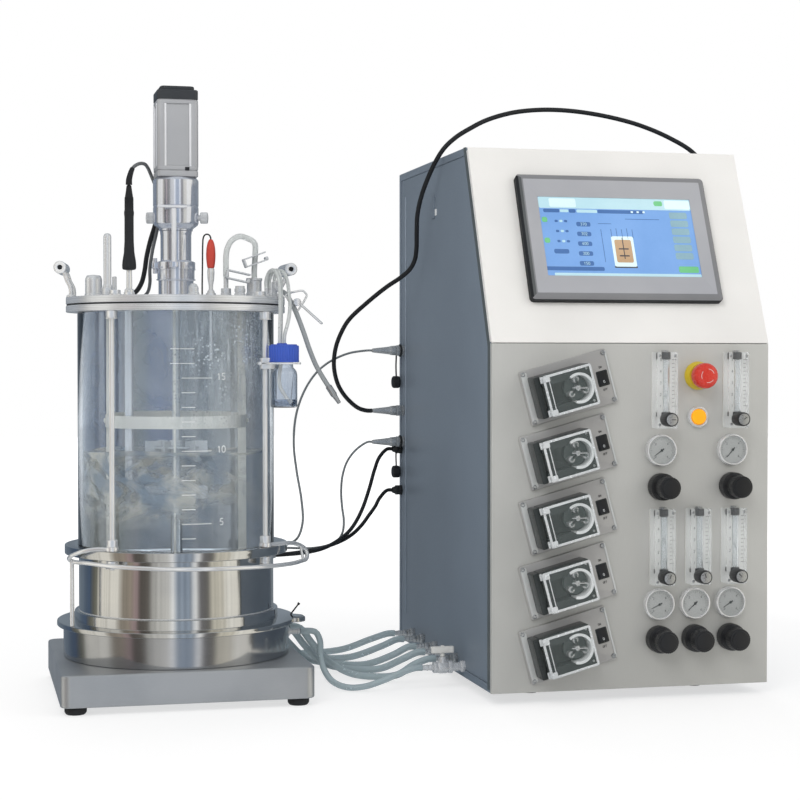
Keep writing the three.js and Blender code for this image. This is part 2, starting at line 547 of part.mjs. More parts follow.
/** The shaft seal: stacked rings under a neck, with the clamp ring's lug and its upright locking pin. */
function sealHousing() {
  const bore = SHAFT.radius + SHAFT.clearance;
  const seatTop = SEAL_Z + SEAL.seatHeight;
  const collarTop = seatTop + SEAL.collarHeight;
  const clampTop = collarTop + SEAL.clampHeight;
  const outline = [
    [bore, SEAL_Z], [SEAL.seat, SEAL_Z], [SEAL.seat, seatTop], [SEAL.collar, seatTop], [SEAL.collar, collarTop],
    [SEAL.clamp, collarTop], [SEAL.clamp, clampTop], [SEAL.neck, clampTop], [SEAL.neck, SEAL_TOP], [bore, SEAL_TOP], [bore, SEAL_Z],
  ];
  const pinAt = [-7, -37];
  const lug = slab([pinAt[0] - 6, pinAt[0] + 6], [pinAt[1] - 5, -SEAL.neck + 2], [collarTop + 1, clampTop - 1]);
  const sideLug = slab([-34, -SEAL.clamp + 2], [-6, 6], [collarTop + 1, clampTop - 1]);
  const pin = at(pinAt, cylinder(3.7, collarTop + 1, 690, TINY));
  return join(turned(outline, MEDIUM), lug, sideLug, pin);
}

/** The adapter cylinder with its groove and two knurled screws that hold the motor's spigot. */
function motorAdapter() {
  const { radius, neck, chamfer, height, screwHeight, screwRadius } = ADAPTER;
  const top = ADAPTER_Z + height;
  const outline = [
    [0, ADAPTER_Z], [neck, ADAPTER_Z], [radius, ADAPTER_Z + chamfer], [radius, top], [0, top],
  ];
  const z = ADAPTER_Z + screwHeight;
  const screws = [166.4, -13.6].map((angle) => {
    const [root, step, end] = [radius - 2, radius + 3, radius + 14].map((reach) => [...polar(reach, angle), z]);
    return [bar(root, step, 4, 8), bar(step, end, screwRadius, SMALL)];
  }).flat();
  return join(turned(outline, MEDIUM), screws);
}

function driveMotor() {
  const { width, corner, footHeight, bodyTop, top, capGroove } = MOTOR;
  const waist = width - 2 * capGroove;
  const core = prism(roundedRectangle(waist, waist, corner - capGroove), MOTOR_Z + 1, top - 4, 0, 1);
  const foot = prism(roundedRectangle(width, width, corner), MOTOR_Z, MOTOR_Z + footHeight, 0, 1);
  const body = prism(roundedRectangle(width, width, corner), MOTOR_Z + footHeight + 1, bodyTop, 0, 1);
  const cap = prism(roundedRectangle(width, width, corner), bodyTop + 1, top, 3, 1);
  const gland = turnedTowards('back', [[0, -WELD], [6.5, -WELD], [6.5, 7], [4.5, 12], [0, 12]], TINY).translate(0, width / 2, MOTOR_Z + 22);
  return join(core, foot, body, cap, gland);
}

/** A long electrode through the lid, with its nut and the tapered sleeve that its lead comes out of. */
function phProbe() {
  const { radius, tip, nut, nutHeight } = PH_PROBE;
  const nutZ = LID_TOP + SEAT_GAP;
  const outline = [
    [0, tip], [radius, tip + 6], [radius, nutZ], [nut, nutZ], [nut, nutZ + nutHeight],
    [3.8, nutZ + nutHeight], [3.8, 602], [9.9, 606], [9.4, 614], [7.2, 627], [6.4, 642], [6.4, 702], [3.2, 720.5],
    [0, 720.5],
  ];
  return turned(outline, SMALL);
}

/** The short foam electrode with its insulated grip. */
function foamProbe() {
  const { radius, tip, nut, nutHeight } = FOAM_PROBE;
  const nutZ = LID_TOP + SEAT_GAP;
  const outline = [
    [0, tip], [radius, tip + 2], [radius, nutZ], [nut, nutZ], [nut, nutZ + nutHeight], [3, nutZ + nutHeight],
    [5.2, 592], [5.4, 603], [6.6, 616], [5.6, 635], [2.4, 646], [0, 646.5],
  ];
  return turned(outline, SMALL);
}

function sampleBottle() {
  const { radius, wall, neck, bottom, shoulder, rim } = BOTTLE;
  const outline = [
    [0, bottom], [radius - 1, bottom], [radius, bottom + 2], [radius, shoulder], [neck, shoulder + 8], [neck, rim],
    [neck - wall, rim], [neck - wall, shoulder + 7], [radius - wall, shoulder - 1], [radius - wall, bottom + wall],
    [0, bottom + wall],
  ];
  return turned(outline, MEDIUM);
}

function bottleCap() {
  const bottom = BOTTLE.plateZ + BOTTLE.plate + SEAT_GAP;
  const teeth = Array.from({ length: 2 * BOTTLE_CAP.ribs }, (_, i) => polar(
    BOTTLE_CAP.radius - (i % 2) * BOTTLE_CAP.groove, (180 * i) / BOTTLE_CAP.ribs));
  const top = bottom + BOTTLE_CAP.height;
  const room = cylinder(BOTTLE.neck + SEAT_GAP, bottom - 1, top - BOTTLE_CAP.roof, MEDIUM);
  return cut(prism(polygon(teeth), bottom, top), room);
}

// ---------------------------------------------------------------------------------------------
// Cabinet: case, sheet fascias, touch panel
// ---------------------------------------------------------------------------------------------

/** The case's side outline in [y, z], with the front set back from the fascia's outer face. */
function sideOutline(setback, border = 0) {
  const low = CABINET.footHeight + border;
  const high = CABINET_TOP - border;
  const back = CABINET.depth - border;
  const kneeZ = BREAK_Z - setback * Math.tan(SLOPE / 2);
  const topY = setback / Math.cos(SLOPE) + (high - BREAK_Z) * Math.tan(SLOPE);
  return polygon([[setback, low], [back, low], [back, high], [topY, high], [setback, kneeZ]]);
}

function sideFittings() {
  const root = -WELD - CABINET.doorRecess; // the fittings stand on the sunk panels
  const socket = [
    [0, root], [SIDE_SOCKET.radius, root], [SIDE_SOCKET.radius - 0.7, 20], [5.4, 30],
    [SIDE_SOCKET.tip, SIDE_SOCKET.length], [0, SIDE_SOCKET.length],
  ];
  const gland = [[0, root], [SIDE_GLAND.radius, root], [SIDE_GLAND.radius, 8], [5, SIDE_GLAND.length], [0, SIDE_GLAND.length]];
  const tail = [
    [0, root], [HOSE_TAIL.base, root], [HOSE_TAIL.base, HOSE_TAIL.hex], [HOSE_TAIL.nipple, HOSE_TAIL.hex + 1],
    [HOSE_TAIL.nipple, HOSE_TAIL.length], [0, HOSE_TAIL.length],
  ];
  const rightGland = [[0, root], [RIGHT_GLAND.radius, root], [RIGHT_GLAND.radius, 12], [5.5, RIGHT_GLAND.length], [0, RIGHT_GLAND.length]];
  return [
    ...SIDE_SOCKET.heights.map((z) => turnedTowards('left', socket, TINY).translate(0, SIDE_SOCKET.fromFront, z)),
    ...SIDE_GLAND.heights.map((z) => turnedTowards('left', gland, TINY).translate(0, SIDE_GLAND.fromFront, z)),
    ...HOSE_TAIL.fromFront.map((y) => turnedTowards('left', tail, 6).translate(0, y, HOSE_TAIL.z)),
    turnedTowards('right', rightGland, TINY).translate(CABINET.width, RIGHT_GLAND.fromFront, RIGHT_GLAND.z),
    drainValveBody(),
  ];
}

function drainValveBody() {
  const root = -WELD - CABINET.doorRecess;
  const { pipe, pipeLength, body, bodyLength, tail, tailLength, bonnet, bonnetHeight, fromFront, z } = DRAIN_VALVE;
  const bodyEnd = pipeLength + bodyLength;
  const tube = [[0, root], [pipe, root], [pipe, pipeLength + WELD], [0, pipeLength + WELD]];
  const spout = [[0, bodyEnd - WELD], [tail, bodyEnd - WELD], [tail, bodyEnd + tailLength], [0, bodyEnd + tailLength]];
  const half = body / 2;
  const block = slab([-bodyEnd, -pipeLength], [-half, half], [-half, half]);
  const top = cylinder(bonnet, half - WELD, half + bonnetHeight, TINY).translate(-pipeLength - bodyLength / 2, 0, 0);
  const bore = cylinder(DRAIN_VALVE.stem + SEAT_GAP, half - 2, half + bonnetHeight + 1, SMALL).translate(-pipeLength - bodyLength / 2, 0, 0);
  const valve = join(turnedTowards('left', tube, TINY), turnedTowards('left', spout, TINY), block, top);
  return cut(valve, bore).translate(0, fromFront, z);
}

function backOpenings() {
  const back = CABINET.depth;
  const slots = [];
  for (let row = 0; row < VENT.rows; row += 1) {
    for (let column = 0; column < VENT.columns; column += 1) {
      const x = CABINET.width / 2 + (column - (VENT.columns - 1) / 2) * (VENT.length + 24);
      const z = VENT.z + row * VENT.pitch;
      slots.push(slab([x - VENT.length / 2, x + VENT.length / 2], [back - VENT.depth, back + 1], [z, z + VENT.height]));
    }
  }
  const [x, z] = [INLET.fromLeft, INLET.z];
  slots.push(slab([x, x + INLET.width], [back - INLET.depth, back + 1], [z, z + INLET.height]));
  return slots;
}

function cabinetCase() {
  const { width, returnDepth, returnSheet, sheet, footHeight, footRadius, footInset, depth, doorBorder, doorRecess } = CABINET;
  const full = acrossX(sideOutline(returnDepth + SEAT_GAP), 0, width);
  const core = acrossX(sideOutline(sheet + SEAT_GAP), returnSheet + SEAT_GAP, width - returnSheet - SEAT_GAP);
  const feet = [[0, 0], [1, 0], [1, 1], [0, 1]].map(([x, y]) => at(
    [x ? width - footInset : footInset, y ? depth - footInset : footInset], cylinder(footRadius, 0, footHeight + WELD)));
  const door = sideOutline(returnDepth + doorBorder, doorBorder);
  const doors = [acrossX(door, -1, doorRecess), acrossX(door, width - doorRecess, width + 1)];
  const [y, z] = [LATCH.fromFront, LATCH.z];
  const latchSpan = [[y - LATCH.width / 2, y + LATCH.width / 2], [z - LATCH.height / 2, z + LATCH.height / 2]];
  const latches = [slab([-1, LATCH.depth], ...latchSpan), slab([width - LATCH.depth, width + 1], ...latchSpan)];
  const shell = cut(join(full, core, feet), doors, latches, backOpenings());
  return join(shell, sideFittings().map((fitting) => fitting));
}

/** A fascia sheet with narrow returns along both sides; it runs from z low to high, its face at y = 0. */
function fasciaSheet(low, high, returnHigh) {
  const { width, sheet, returnSheet, returnDepth } = CABINET;
  return [
    slab([0, width], [0, sheet], [low, high]),
    slab([0, returnSheet], [0, returnDepth], [low, returnHigh]),
    slab([width - returnSheet, width], [0, returnDepth], [low, returnHigh]),
  ];
}

function upperFascia() {
  const returnStart = CABINET.seam + CABINET.returnDepth * Math.tan(SLOPE);
  const { width, sheet, returnSheet, returnDepth } = CABINET;
  const topCut = SLOPE_LENGTH - sheet * Math.tan(SLOPE);
  const returnTop = SLOPE_LENGTH - returnDepth * Math.tan(SLOPE);
  return join(
    slab([0, width], [0, sheet], [CABINET.seam, topCut]),
    slab([0, returnSheet], [0, returnDepth], [returnStart, returnTop]),
    slab([width - returnSheet, width], [0, returnDepth], [returnStart, returnTop]),
  );
}

/** The touch panel: a bevelled frame with the screen sunk a little into its face. */
function touchPanel() {
  const { width, height, depth, corner, bevel, screen, screenDepth } = PANEL;
  const frame = raisedFront(roundedRectangle(width, height, corner), SEAT_GAP, depth, bevel);
  const window = raisedFront(roundedRectangle(screen[0], screen[1], 1), depth - screenDepth, depth + 1, 0, 1);
  return cut(frame, window);
}

// ---------------------------------------------------------------------------------------------
// Front panel: pumps, flow meters, gauges, buttons
// ---------------------------------------------------------------------------------------------

/** Moves pump geometry from its plate's frame onto the fascia. */
function ontoPumpPlace(geometry, index) {
  return geometry.rotateY(-radians(PUMP.tilt)).translate(PUMP.fromLeft, 0, PUMP.topZ - index * PUMP.pitch);
}

/** The horseshoe outline around the rotor, open towards the hinge side. */
function chamberOutline() {
  const [x, z] = PUMP.rotorAt;
  const half = PUMP.tubeGap / 2;
  const reach = PUMP.headAt[0] - PUMP.head[0] / 2 - 1;
  const start = Math.asin(half / PUMP.chamber);
  const shape = new THREE.Shape();
  shape.moveTo(reach, z - half);
  shape.lineTo(x - PUMP.chamber * Math.cos(start), z - half);
  shape.absarc(x, z, PUMP.chamber, Math.PI + start, Math.PI - start + 2 * Math.PI, false);
  shape.lineTo(reach, z + half);
  return shape;
}

function pumpBody(index) {
  const [plateWidth, plateHeight, plate] = PUMP.plate;
  const [headWidth, headHeight, headDepth] = PUMP.head;
  const face = plate + headDepth;
  const base = slab([-plateWidth / 2, plateWidth / 2], [-plate, WELD], [-plateHeight / 2, plateHeight / 2]);
  const head = raisedFront(chamferedRectangle(headWidth, headHeight, 2.5, PUMP.headAt), plate - WELD, face);
  return ontoPumpPlace(join(base, head), index);
}

function pumpHollows(index) {
  const face = PUMP.plate[2] + PUMP.head[2];
  const floor = face - PUMP.chamberDepth;
  const chamber = raisedFront(chamberOutline(), floor, face + 1, 0, 6);
  const [x, z] = PUMP.rotorAt;
  const axle = PUMP.axle + PUMP.axlePlay;
  const bearing = turnedTowards('front', [[0, floor - 6], [axle, floor - 6], [axle, floor + 1], [0, floor + 1]], SMALL).translate(x, 0, z);
  const [halfWidth, halfHeight] = [PUMP.switch[0] / 2 + PUMP.switchClearance, PUMP.switch[1] / 2 + PUMP.switchClearance];
  const [switchX, switchZ] = PUMP.switchAt;
  const pocket = slab([switchX - halfWidth, switchX + halfWidth], [-PUMP.plate[2] - 1, CABINET.sheet + 1],
    [switchZ - halfHeight, switchZ + halfHeight]);
  return [chamber, bearing, pocket].map((tool) => ontoPumpPlace(tool, index));
}

/** Rotor: an axle, a back disc and three rollers. Built around its own axis, seat at y = 0. */
function pumpRotor() {
  const hub = turnedTowards('front', [[0, -5], [PUMP.axle, -5], [PUMP.axle, 1], [0, 1]], TINY);
  const disc = turnedTowards('front', [[0, SEAT_GAP], [PUMP.rotor, SEAT_GAP], [PUMP.rotor, 4], [0, 4]], 12);
  const rollers = Array.from({ length: PUMP.rollers }, (_, i) => {
    const [x, z] = polar(PUMP.rollerCircle, 90 + (360 * i) / PUMP.rollers);
    const outline = [[0, 3.5], [PUMP.roller, 3.5], [PUMP.roller, PUMP.rotorDepth - 1], [0, PUMP.rotorDepth - 1]];
    return turnedTowards('front', outline, 6).translate(x, 0, z);
  });
  return join(hub, disc, rollers);
}

/** Clear cover: a shallow tray with two hinge knuckles; its origin is the hinge line's middle. */
function pumpCover() {
  const [width, height] = PUMP.head;
  const wall = PUMP.coverWall;
  const low = SEAT_GAP - PUMP.knuckle;
  const high = low + PUMP.coverDepth;
  const tray = raisedFront(chamferedRectangle(width, height, 2.5, [width / 2, 0]), low, high);
  const room = slab([wall, width - wall], [wall - high, 1 - low], [wall - height / 2, height / 2 - wall]);
  const knuckles = [1, -1].map((side) => {
    const z = side * (height / 2 - PUMP.knuckleLength / 2 - 2);
    return cylinder(PUMP.knuckle - SEAT_GAP, z - PUMP.knuckleLength / 2, z + PUMP.knuckleLength / 2, 6);
  });
  return join(cut(tray, room), knuckles);
}

/** Rocker with a shallow V face, built around its pivot. */
function rockerSwitch() {
  const [width, height, depth] = PUMP.switch;
  const half = height / 2;
  const face = polygon([[depth / 2, -half], [-depth / 2 - 1, -half], [-depth / 2 + 0.6, 0], [-depth / 2 - 1, half], [depth / 2, half]]);
  return acrossX(face, -width / 2, width / 2);
}

function rotameter(x, low) {
  const { width, height, depth, bore, knobRise } = ROTAMETER;
  const block = slab([x - width / 2, x + width / 2], [-depth, WELD], [low, low + height]);
  const tube = cylinder(bore, low + knobRise + 9, low + height + 1, 6).translate(x, -depth / 2, 0);
  const stem = FLOW_KNOB.stem + FLOW_KNOB.play;
  const seat = turnedTowards('front', [[0, depth - FLOW_KNOB.stemDepth - 1], [stem, depth - FLOW_KNOB.stemDepth - 1], [stem, depth + 1], [0, depth + 1]], SMALL)
    .translate(x, 0, low + knobRise);
  return cut(block, tube, seat);
}

function gauge(x, z) {
  const { radius, depth, lip, recess } = GAUGE;
  const outline = [
    [0, -WELD], [radius, -WELD], [radius, depth], [radius - lip, depth], [radius - lip, depth - recess],
    [0, depth - recess],
  ];
  return turnedTowards('front', outline, MEDIUM).translate(x, 0, z);
}

function buttonCollars() {
  const [, x] = GAS_COLUMNS;
  const stem = STOP_BUTTON.stem + SEAT_GAP;
  const { collar, collarDepth } = STOP_BUTTON;
  const stop = [[stem, -WELD], [collar, -WELD], [collar - 3, collarDepth], [stem, collarDepth], [stem, -WELD]];
  const lens = START_BUTTON.lens + SEAT_GAP;
  const { bezel, bezelDepth } = START_BUTTON;
  const start = [[lens, -WELD], [bezel, -WELD], [bezel - 1, bezelDepth], [lens, bezelDepth], [lens, -WELD]];
  return [
    turnedTowards('front', stop, MEDIUM).translate(x, 0, STOP_BUTTON.z),
    turnedTowards('front', start, MEDIUM).translate(x, 0, START_BUTTON.z),
  ];
}

function gasPlaces(group) {
  return group.columns.map((column) => GAS_COLUMNS[column] + group.shift);
}

function lowerFascia() {
  const sheet = fasciaSheet(CABINET.footHeight, BREAK_Z, BREAK_Z - CABINET.returnRelief);
  const pumps = Array.from({ length: PUMP.count }, (_, i) => pumpBody(i));
  const hollows = Array.from({ length: PUMP.count }, (_, i) => pumpHollows(i)).flat();
  const gas = [UPPER_GROUP, LOWER_GROUP].map((group) => gasPlaces(group).map((x) => [
    rotameter(x, group.rotameter), gauge(x, group.gauge)])).flat(2);
  return cut(join(sheet, pumps, gas, buttonCollars()), hollows);
}

function flowKnob() {
  const { radius, length, stem, stemDepth } = FLOW_KNOB;
  const outline = [
    [0, -stemDepth], [stem, -stemDepth], [stem, SEAT_GAP], [radius, SEAT_GAP], [radius - 0.8, length], [0, length],
  ];
  return turnedTowards('front', outline, 10);
}

function regulatorKnob() {
  const { radius, skirt, cap, reach } = REGULATOR;
  const outline = [
    [0, SEAT_GAP], [radius, SEAT_GAP], [radius, skirt], [cap, skirt + 6], [cap, reach - 2], [cap - 2.5, reach],
    [0, reach],
  ];
  return turnedTowards('front', outline, MEDIUM);
}

function stopButton() {
  const { stem, cap, depth, collarDepth, travel } = STOP_BUTTON;
  const under = collarDepth + travel + SEAT_GAP;
  const outline = [
    [0, travel + 1], [stem, travel + 1], [stem, under], [cap - 1, under], [cap, under + 2.5], [cap, depth - 7],
    [cap - 3, depth - 2.5], [cap - 9, depth], [0, depth],
  ];
  return turnedTowards('front', outline, MEDIUM);
}

function startButton() {
  const { lens, lensTop } = START_BUTTON;
  const outline = [[0, 3], [lens, 3], [lens, lensTop - 1.2], [lens - 2, lensTop], [0, lensTop]];
  return turnedTowards('front', outline, MEDIUM);
}

/** T handle of the drain valve, built around its stem. */
function valveHandle() {
  const { stem, stemHeight, handleLength, handleWidth, handleHeight } = DRAIN_VALVE;
  const grip = prism(roundedRectangle(handleLength, handleWidth, 3), stemHeight - WELD, stemHeight + handleHeight, 0, 2);
  return join(cylinder(stem, 0.3, stemHeight, SMALL), grip);
}

// ---------------------------------------------------------------------------------------------
// Cables, tubes and hoses: each runs through points chosen along its real route
// ---------------------------------------------------------------------------------------------

const CORDS = {
  overhead_cable: { radius: 3.5, steps: 40, finish: 'blackRubber', route: [
    [33.2, 270, 393.5], [25, 270, 393.6], [10, 268, 398], [-8, 264, 412], [-22, 258, 429], [-31, 250, 447], [-36, 242, 470],
    [-35, 232, 496], [-29, 222, 518], [-18, 212, 540], [8, 190, 568], [34, 166, 592], [52, 148, 606], [64, 134, 619],
    [69, 124, 633], [69, 114, 648], [66, 100, 674], [63, 84, 699], [64, 62, 727], [68, 38, 752], [74, 14, 775], [84, 0, 794],
    [103, 1, 811], [126, 5, 825], [149, 12, 837], [179, 22, 848], [211, 32, 856], [259, 45, 862], [313, 55, 862],
    [372, 60, 855], [419, 60, 844], [464, 55, 826], [500, 48, 804], [525, 52, 778], [541, 66, 746], [549, 90, 710],
    [551, 124, 675], [547, 156, 651], [538, 173, 641], [526, 180, 640], [515.8, 180, 640]] },
  jacket_sensor_cable: { radius: 1.8, steps: 28, finish: 'greyTube', route: [
    [33.2, 270, 492], [26, 270, 492], [-4, 264, 488], [-28, 255, 480], [-48, 244, 470], [-68, 230, 455], [-91, 205, 428],
    [-110, 175, 391], [-120, 142, 347], [-121, 112, 306], [-119, 82, 263], [-120, 68, 230], [-127, 72, 207], [-140, 86, 196],
    [-158, 99, 188], [-178, 101.6, 185], [-191, 90.7, 185], [-197.3, 85.3, 185]] },
  level_sensor_cable: { radius: 1.8, steps: 24, finish: 'greyTube', route: [
    [33.2, 270, 342.5], [26, 270, 342.3], [6, 267, 330], [-10, 260, 312], [-20, 250, 290], [-25, 238, 266], [-27, 222, 242],
    [-28, 203, 220], [-36, 178, 202], [-56, 148, 190], [-90, 132, 185], [-135, 134, 186], [-178, 144, 188],
    [-212, 146, 187], [-230, 127, 185.3], [-235.3, 118.3, 185]] },
  heater_cable_1: { radius: 3, steps: 14, finish: 'blackRubber', route: [
    [70.2, 283, 330], [62, 283, 329.7], [47, 275, 317], [35, 259, 297], [20, 232, 268], [0, 198, 236], [-25, 160, 211],
    [-55, 118, 197], [-88, 78, 189], [-122, 50, 186.5], [-156, 35.4, 186], [-167.9, 31.5, 186]] },
  heater_cable_2: { radius: 3, steps: 13, finish: 'blackRubber', route: [
    [70.2, 283, 262], [62, 283, 261.8], [47, 273, 250], [36, 257, 238], [20, 232, 226], [0, 200, 212], [-25, 164, 200],
    [-55, 130, 192], [-92, 102, 186], [-130, 79, 183.5], [-166, 60.8, 183], [-177.5, 54.9, 183]] },
  ph_cable: { radius: 2.5, steps: 34, finish: 'blackRubber', route: [
    [-392.4, -74, 720.8], [-392.2, -74, 728], [-387, -68, 744], [-378, -54, 752], [-367, -32, 755], [-360, -12, 752],
    [-354, 4, 744], [-347, 12, 729], [-341, 15, 707], [-340, 16, 686], [-344, 17, 663], [-350, 19, 636], [-353, 28, 610],
    [-351, 48, 590], [-352, 68, 577], [-357, 88, 571], [-366, 106, 570.3], [-377, 122, 570.6], [-387, 137, 567],
    [-393, 148, 551], [-395, 153, 520], [-395, 155, 470], [-395, 159, 390], [-394, 166, 300], [-391, 176, 210],
    [-385, 189, 130], [-378, 200, 80], [-377, 202, 58], [-377, 196, 40], [-377, 182, 33.2], [-377, 171.3, 33]] },
  motor_cable: { radius: 3.5, steps: 28, finish: 'blackRubber', route: [
    [-320.5, 22.8, 759.3], [-320.6, 31, 759.2], [-323, 42, 754], [-328, 46, 738], [-332, 42, 721], [-336, 35, 705],
    [-341, 31, 688], [-346, 29, 670], [-352, 31, 650], [-357, 35, 627], [-359, 45, 607], [-362, 60, 590], [-369, 78, 577],
    [-379, 96, 571.5], [-391, 112, 570.5], [-402, 127, 568], [-410, 139, 556], [-414, 147, 530], [-414, 151, 480],
    [-413, 157, 390], [-411, 165, 300], [-408, 176, 210], [-403, 189, 130], [-398, 203, 84], [-397, 206, 62], [-397, 200, 43],
    [-397, 184, 33.2], [-397, 171.3, 33]] },
  vent_tube: { radius: 4, steps: 12, finish: 'silicone', route: [
    [-258, -86, 592.4], [-258, -86, 604], [-258, -86, 618], [-256, -85, 633], [-249, -82, 645], [-238, -78, 651], [-226, -73, 649],
    [-216, -78, 642], [-215, -78, 628], [-216, -78, 612], [-216.5, -78, 602], [-216.5, -78, 592.3]] },
  bottle_tube: { radius: 2.5, steps: 14, finish: 'silicone', route: [
    [-184.5, -60, 588.4], [-184.5, -60.3, 594], [-181, -68, 602], [-176, -80, 602], [-172.5, -93, 591], [-171.5, -105, 572],
    [-172, -116, 550], [-176, -124, 530], [-181.5, -126.5, 511], [-182, -126.5, 504], [-182, -126.5, 498.3]] },
  sampling_tube: { radius: 3.4, steps: 8, finish: 'greyTube', route: [
    [-175.8, -73.3, 573.8], [-172.7, -78, 571.6], [-166, -87, 560], [-158, -95, 540], [-150, -103, 515], [-143, -108, 492],
    [-134, -113, 468], [-122, -118, 446], [-114, -121, 433]] },
  drain_hose: { radius: 4.5, steps: 15, finish: 'silicone', route: [
    [23.2, -103, 32], [13, -103, 32], [-8, -103, 26], [-34, -102, 16], [-60, -99, 8], [-84, -90, 6], [-102, -72, 12],
    [-111, -52, 27], [-112, -32, 46], [-110, -16, 64], [-115, -6, 75], [-127, -4.4, 77], [-137.6, -5.2, 77]] },
};

// ---------------------------------------------------------------------------------------------
// Assembly
// ---------------------------------------------------------------------------------------------

const vessel = new THREE.Group();
vessel.position.set(VESSEL_X, VESSEL_Y, 0);
bioreactor.add(vessel);

addPiece(vessel, 'base_plate', basePlate(), 'satinSteel');
addPiece(vessel, 'heater_drum', heaterDrum(), 'polishedSteel');
addPiece(vessel, 'vessel_bottom', vesselBottom(), 'polishedSteel');
addPiece(vessel, 'glass_cylinder', glassCylinder(), 'glass');
addPiece(vessel, 'upper_flange', upperFlange(), 'polishedSteel');
addPiece(vessel, 'lid_gasket', gasketRing(), 'blackRubber');
addPiece(vessel, 'lid_plate', lidPlate(), 'polishedSteel');
addPiece(vessel, 'wire_guard', wireGuard(), 'polishedSteel');
addPiece(vessel, 'baffle_cage', baffleCage(), 'satinSteel');
addPiece(vessel, 'agitator', agitator(), 'polishedSteel');
addPiece(vessel, 'seal_housing', sealHousing(), 'polishedSteel');
addPiece(vessel, 'motor_adapter', motorAdapter(), 'polishedSteel');
addPiece(vessel, 'drive_motor', driveMotor(), 'satinSteel');
addPiece(vessel, 'ph_probe', phProbe(), 'blackRubber', [...PH_PROBE.at, 0]);
addPiece(vessel, 'foam_probe', foamProbe(), 'redPlastic', [...FOAM_PROBE.at, 0]);
addPiece(vessel, 'sample_bottle', sampleBottle(), 'glass', [...BOTTLE.at, 0]);
addPiece(vessel, 'bottle_cap', bottleCap(), 'bluePlastic', [...BOTTLE.at, 0]);

const cabinet = new THREE.Group();
cabinet.position.set(CABINET_X, FRONT_Y, 0);
bioreactor.add(cabinet);
const slope = new THREE.Group();
slope.position.set(0, 0, BREAK_Z);
slope.rotation.set(-SLOPE, 0, 0);
cabinet.add(slope);

addPiece(cabinet, 'cabinet_case', cabinetCase(), 'slatePaint');
addPiece(slope, 'upper_fascia', upperFascia(), 'whitePaint');
addPiece(slope, 'touch_panel', touchPanel(), 'darkFrame', [CABINET.width / 2, 0, PANEL.centre]);
addPiece(cabinet, 'lower_fascia', lowerFascia(), 'brushedPanel');

for (let i = 0; i < PUMP.count; i += 1) {
  const pump = new THREE.Group();
  pump.position.set(PUMP.fromLeft, 0, PUMP.topZ - i * PUMP.pitch);
  pump.rotation.set(0, -radians(PUMP.tilt), 0);
  cabinet.add(pump);
  const face = PUMP.plate[2] + PUMP.head[2];
  const floor = face - PUMP.chamberDepth;
  const [rotorX, rotorZ] = PUMP.rotorAt;
  const [switchX, switchZ] = PUMP.switchAt;
  const hingeX = PUMP.headAt[0] - PUMP.head[0] / 2;
  addPiece(pump, `pump_rotor_${i + 1}`, pumpRotor(), 'satinSteel', [rotorX, -floor, rotorZ]);
  addPiece(pump, `pump_cover_${i + 1}`, pumpCover(), 'clearPlastic', [hingeX, -face - PUMP.knuckle, PUMP.headAt[1]]);
  addPiece(pump, `pump_switch_${i + 1}`, rockerSwitch(), 'blackPlastic', [switchX, 1 - PUMP.plate[2], switchZ], [-PUMP.switchTilt, 0, 0]);
}

let knobCount = 0;
for (const group of [UPPER_GROUP, LOWER_GROUP]) {
  for (const x of gasPlaces(group)) {
    knobCount += 1;
    const knobZ = group.rotameter + ROTAMETER.knobRise;
    addPiece(cabinet, `flow_knob_${knobCount}`, flowKnob(), 'blackPlastic', [x, -ROTAMETER.depth, knobZ]);
    addPiece(cabinet, `regulator_knob_${knobCount}`, regulatorKnob(), 'blackPlastic', [x, 0, group.regulator]);
  }
}
addPiece(cabinet, 'stop_button', stopButton(), 'redPlastic', [GAS_COLUMNS[1], 0, STOP_BUTTON.z]);
addPiece(cabinet, 'start_button', startButton(), 'amberLens', [GAS_COLUMNS[1], 0, START_BUTTON.z]);
const stemX = -DRAIN_VALVE.pipeLength - DRAIN_VALVE.bodyLength / 2;
addPiece(cabinet, 'drain_valve_handle', valveHandle(), 'whitePlastic',
  [stemX, DRAIN_VALVE.fromFront, DRAIN_VALVE.z + DRAIN_VALVE.body / 2 - 2]);

for (const [name, cord] of Object.entries(CORDS)) {
  addPiece(bioreactor, name, wire(cord.route, cord.radius, 8, cord.steps), cord.finish);
}

export default bioreactor;
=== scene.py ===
"""Looks of a bench bioreactor: a stirred glass vessel on a heated steel foot, and its control cabinet.

Lengths are millimetres in the frame's own axes and become metres where a mesh is made.
"""

import bmesh
import bpy
import numpy as np
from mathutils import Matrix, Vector


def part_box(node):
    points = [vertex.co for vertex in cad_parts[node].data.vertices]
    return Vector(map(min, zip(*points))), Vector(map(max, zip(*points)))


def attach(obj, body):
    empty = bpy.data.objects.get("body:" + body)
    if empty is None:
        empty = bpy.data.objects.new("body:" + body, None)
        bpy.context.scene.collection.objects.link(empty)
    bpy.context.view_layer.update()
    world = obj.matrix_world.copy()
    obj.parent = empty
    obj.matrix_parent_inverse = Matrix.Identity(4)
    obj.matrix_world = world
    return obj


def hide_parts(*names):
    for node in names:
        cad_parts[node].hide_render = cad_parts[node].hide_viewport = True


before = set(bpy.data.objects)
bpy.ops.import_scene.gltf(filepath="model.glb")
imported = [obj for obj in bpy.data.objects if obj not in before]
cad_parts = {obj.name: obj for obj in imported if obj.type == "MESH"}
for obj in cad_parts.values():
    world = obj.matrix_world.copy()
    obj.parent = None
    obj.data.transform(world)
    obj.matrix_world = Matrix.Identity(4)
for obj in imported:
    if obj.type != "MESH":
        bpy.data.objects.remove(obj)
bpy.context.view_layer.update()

bl_info = {
    "name": "Bench bioreactor looks",
    "version": (1, 0, 0),
    "blender": (4, 5, 0),
    "location": "3D View > Sidebar > Bioreactor",
    "description": "Builds the visible pieces of a bench bioreactor on its frame",
    "category": "Object",
}

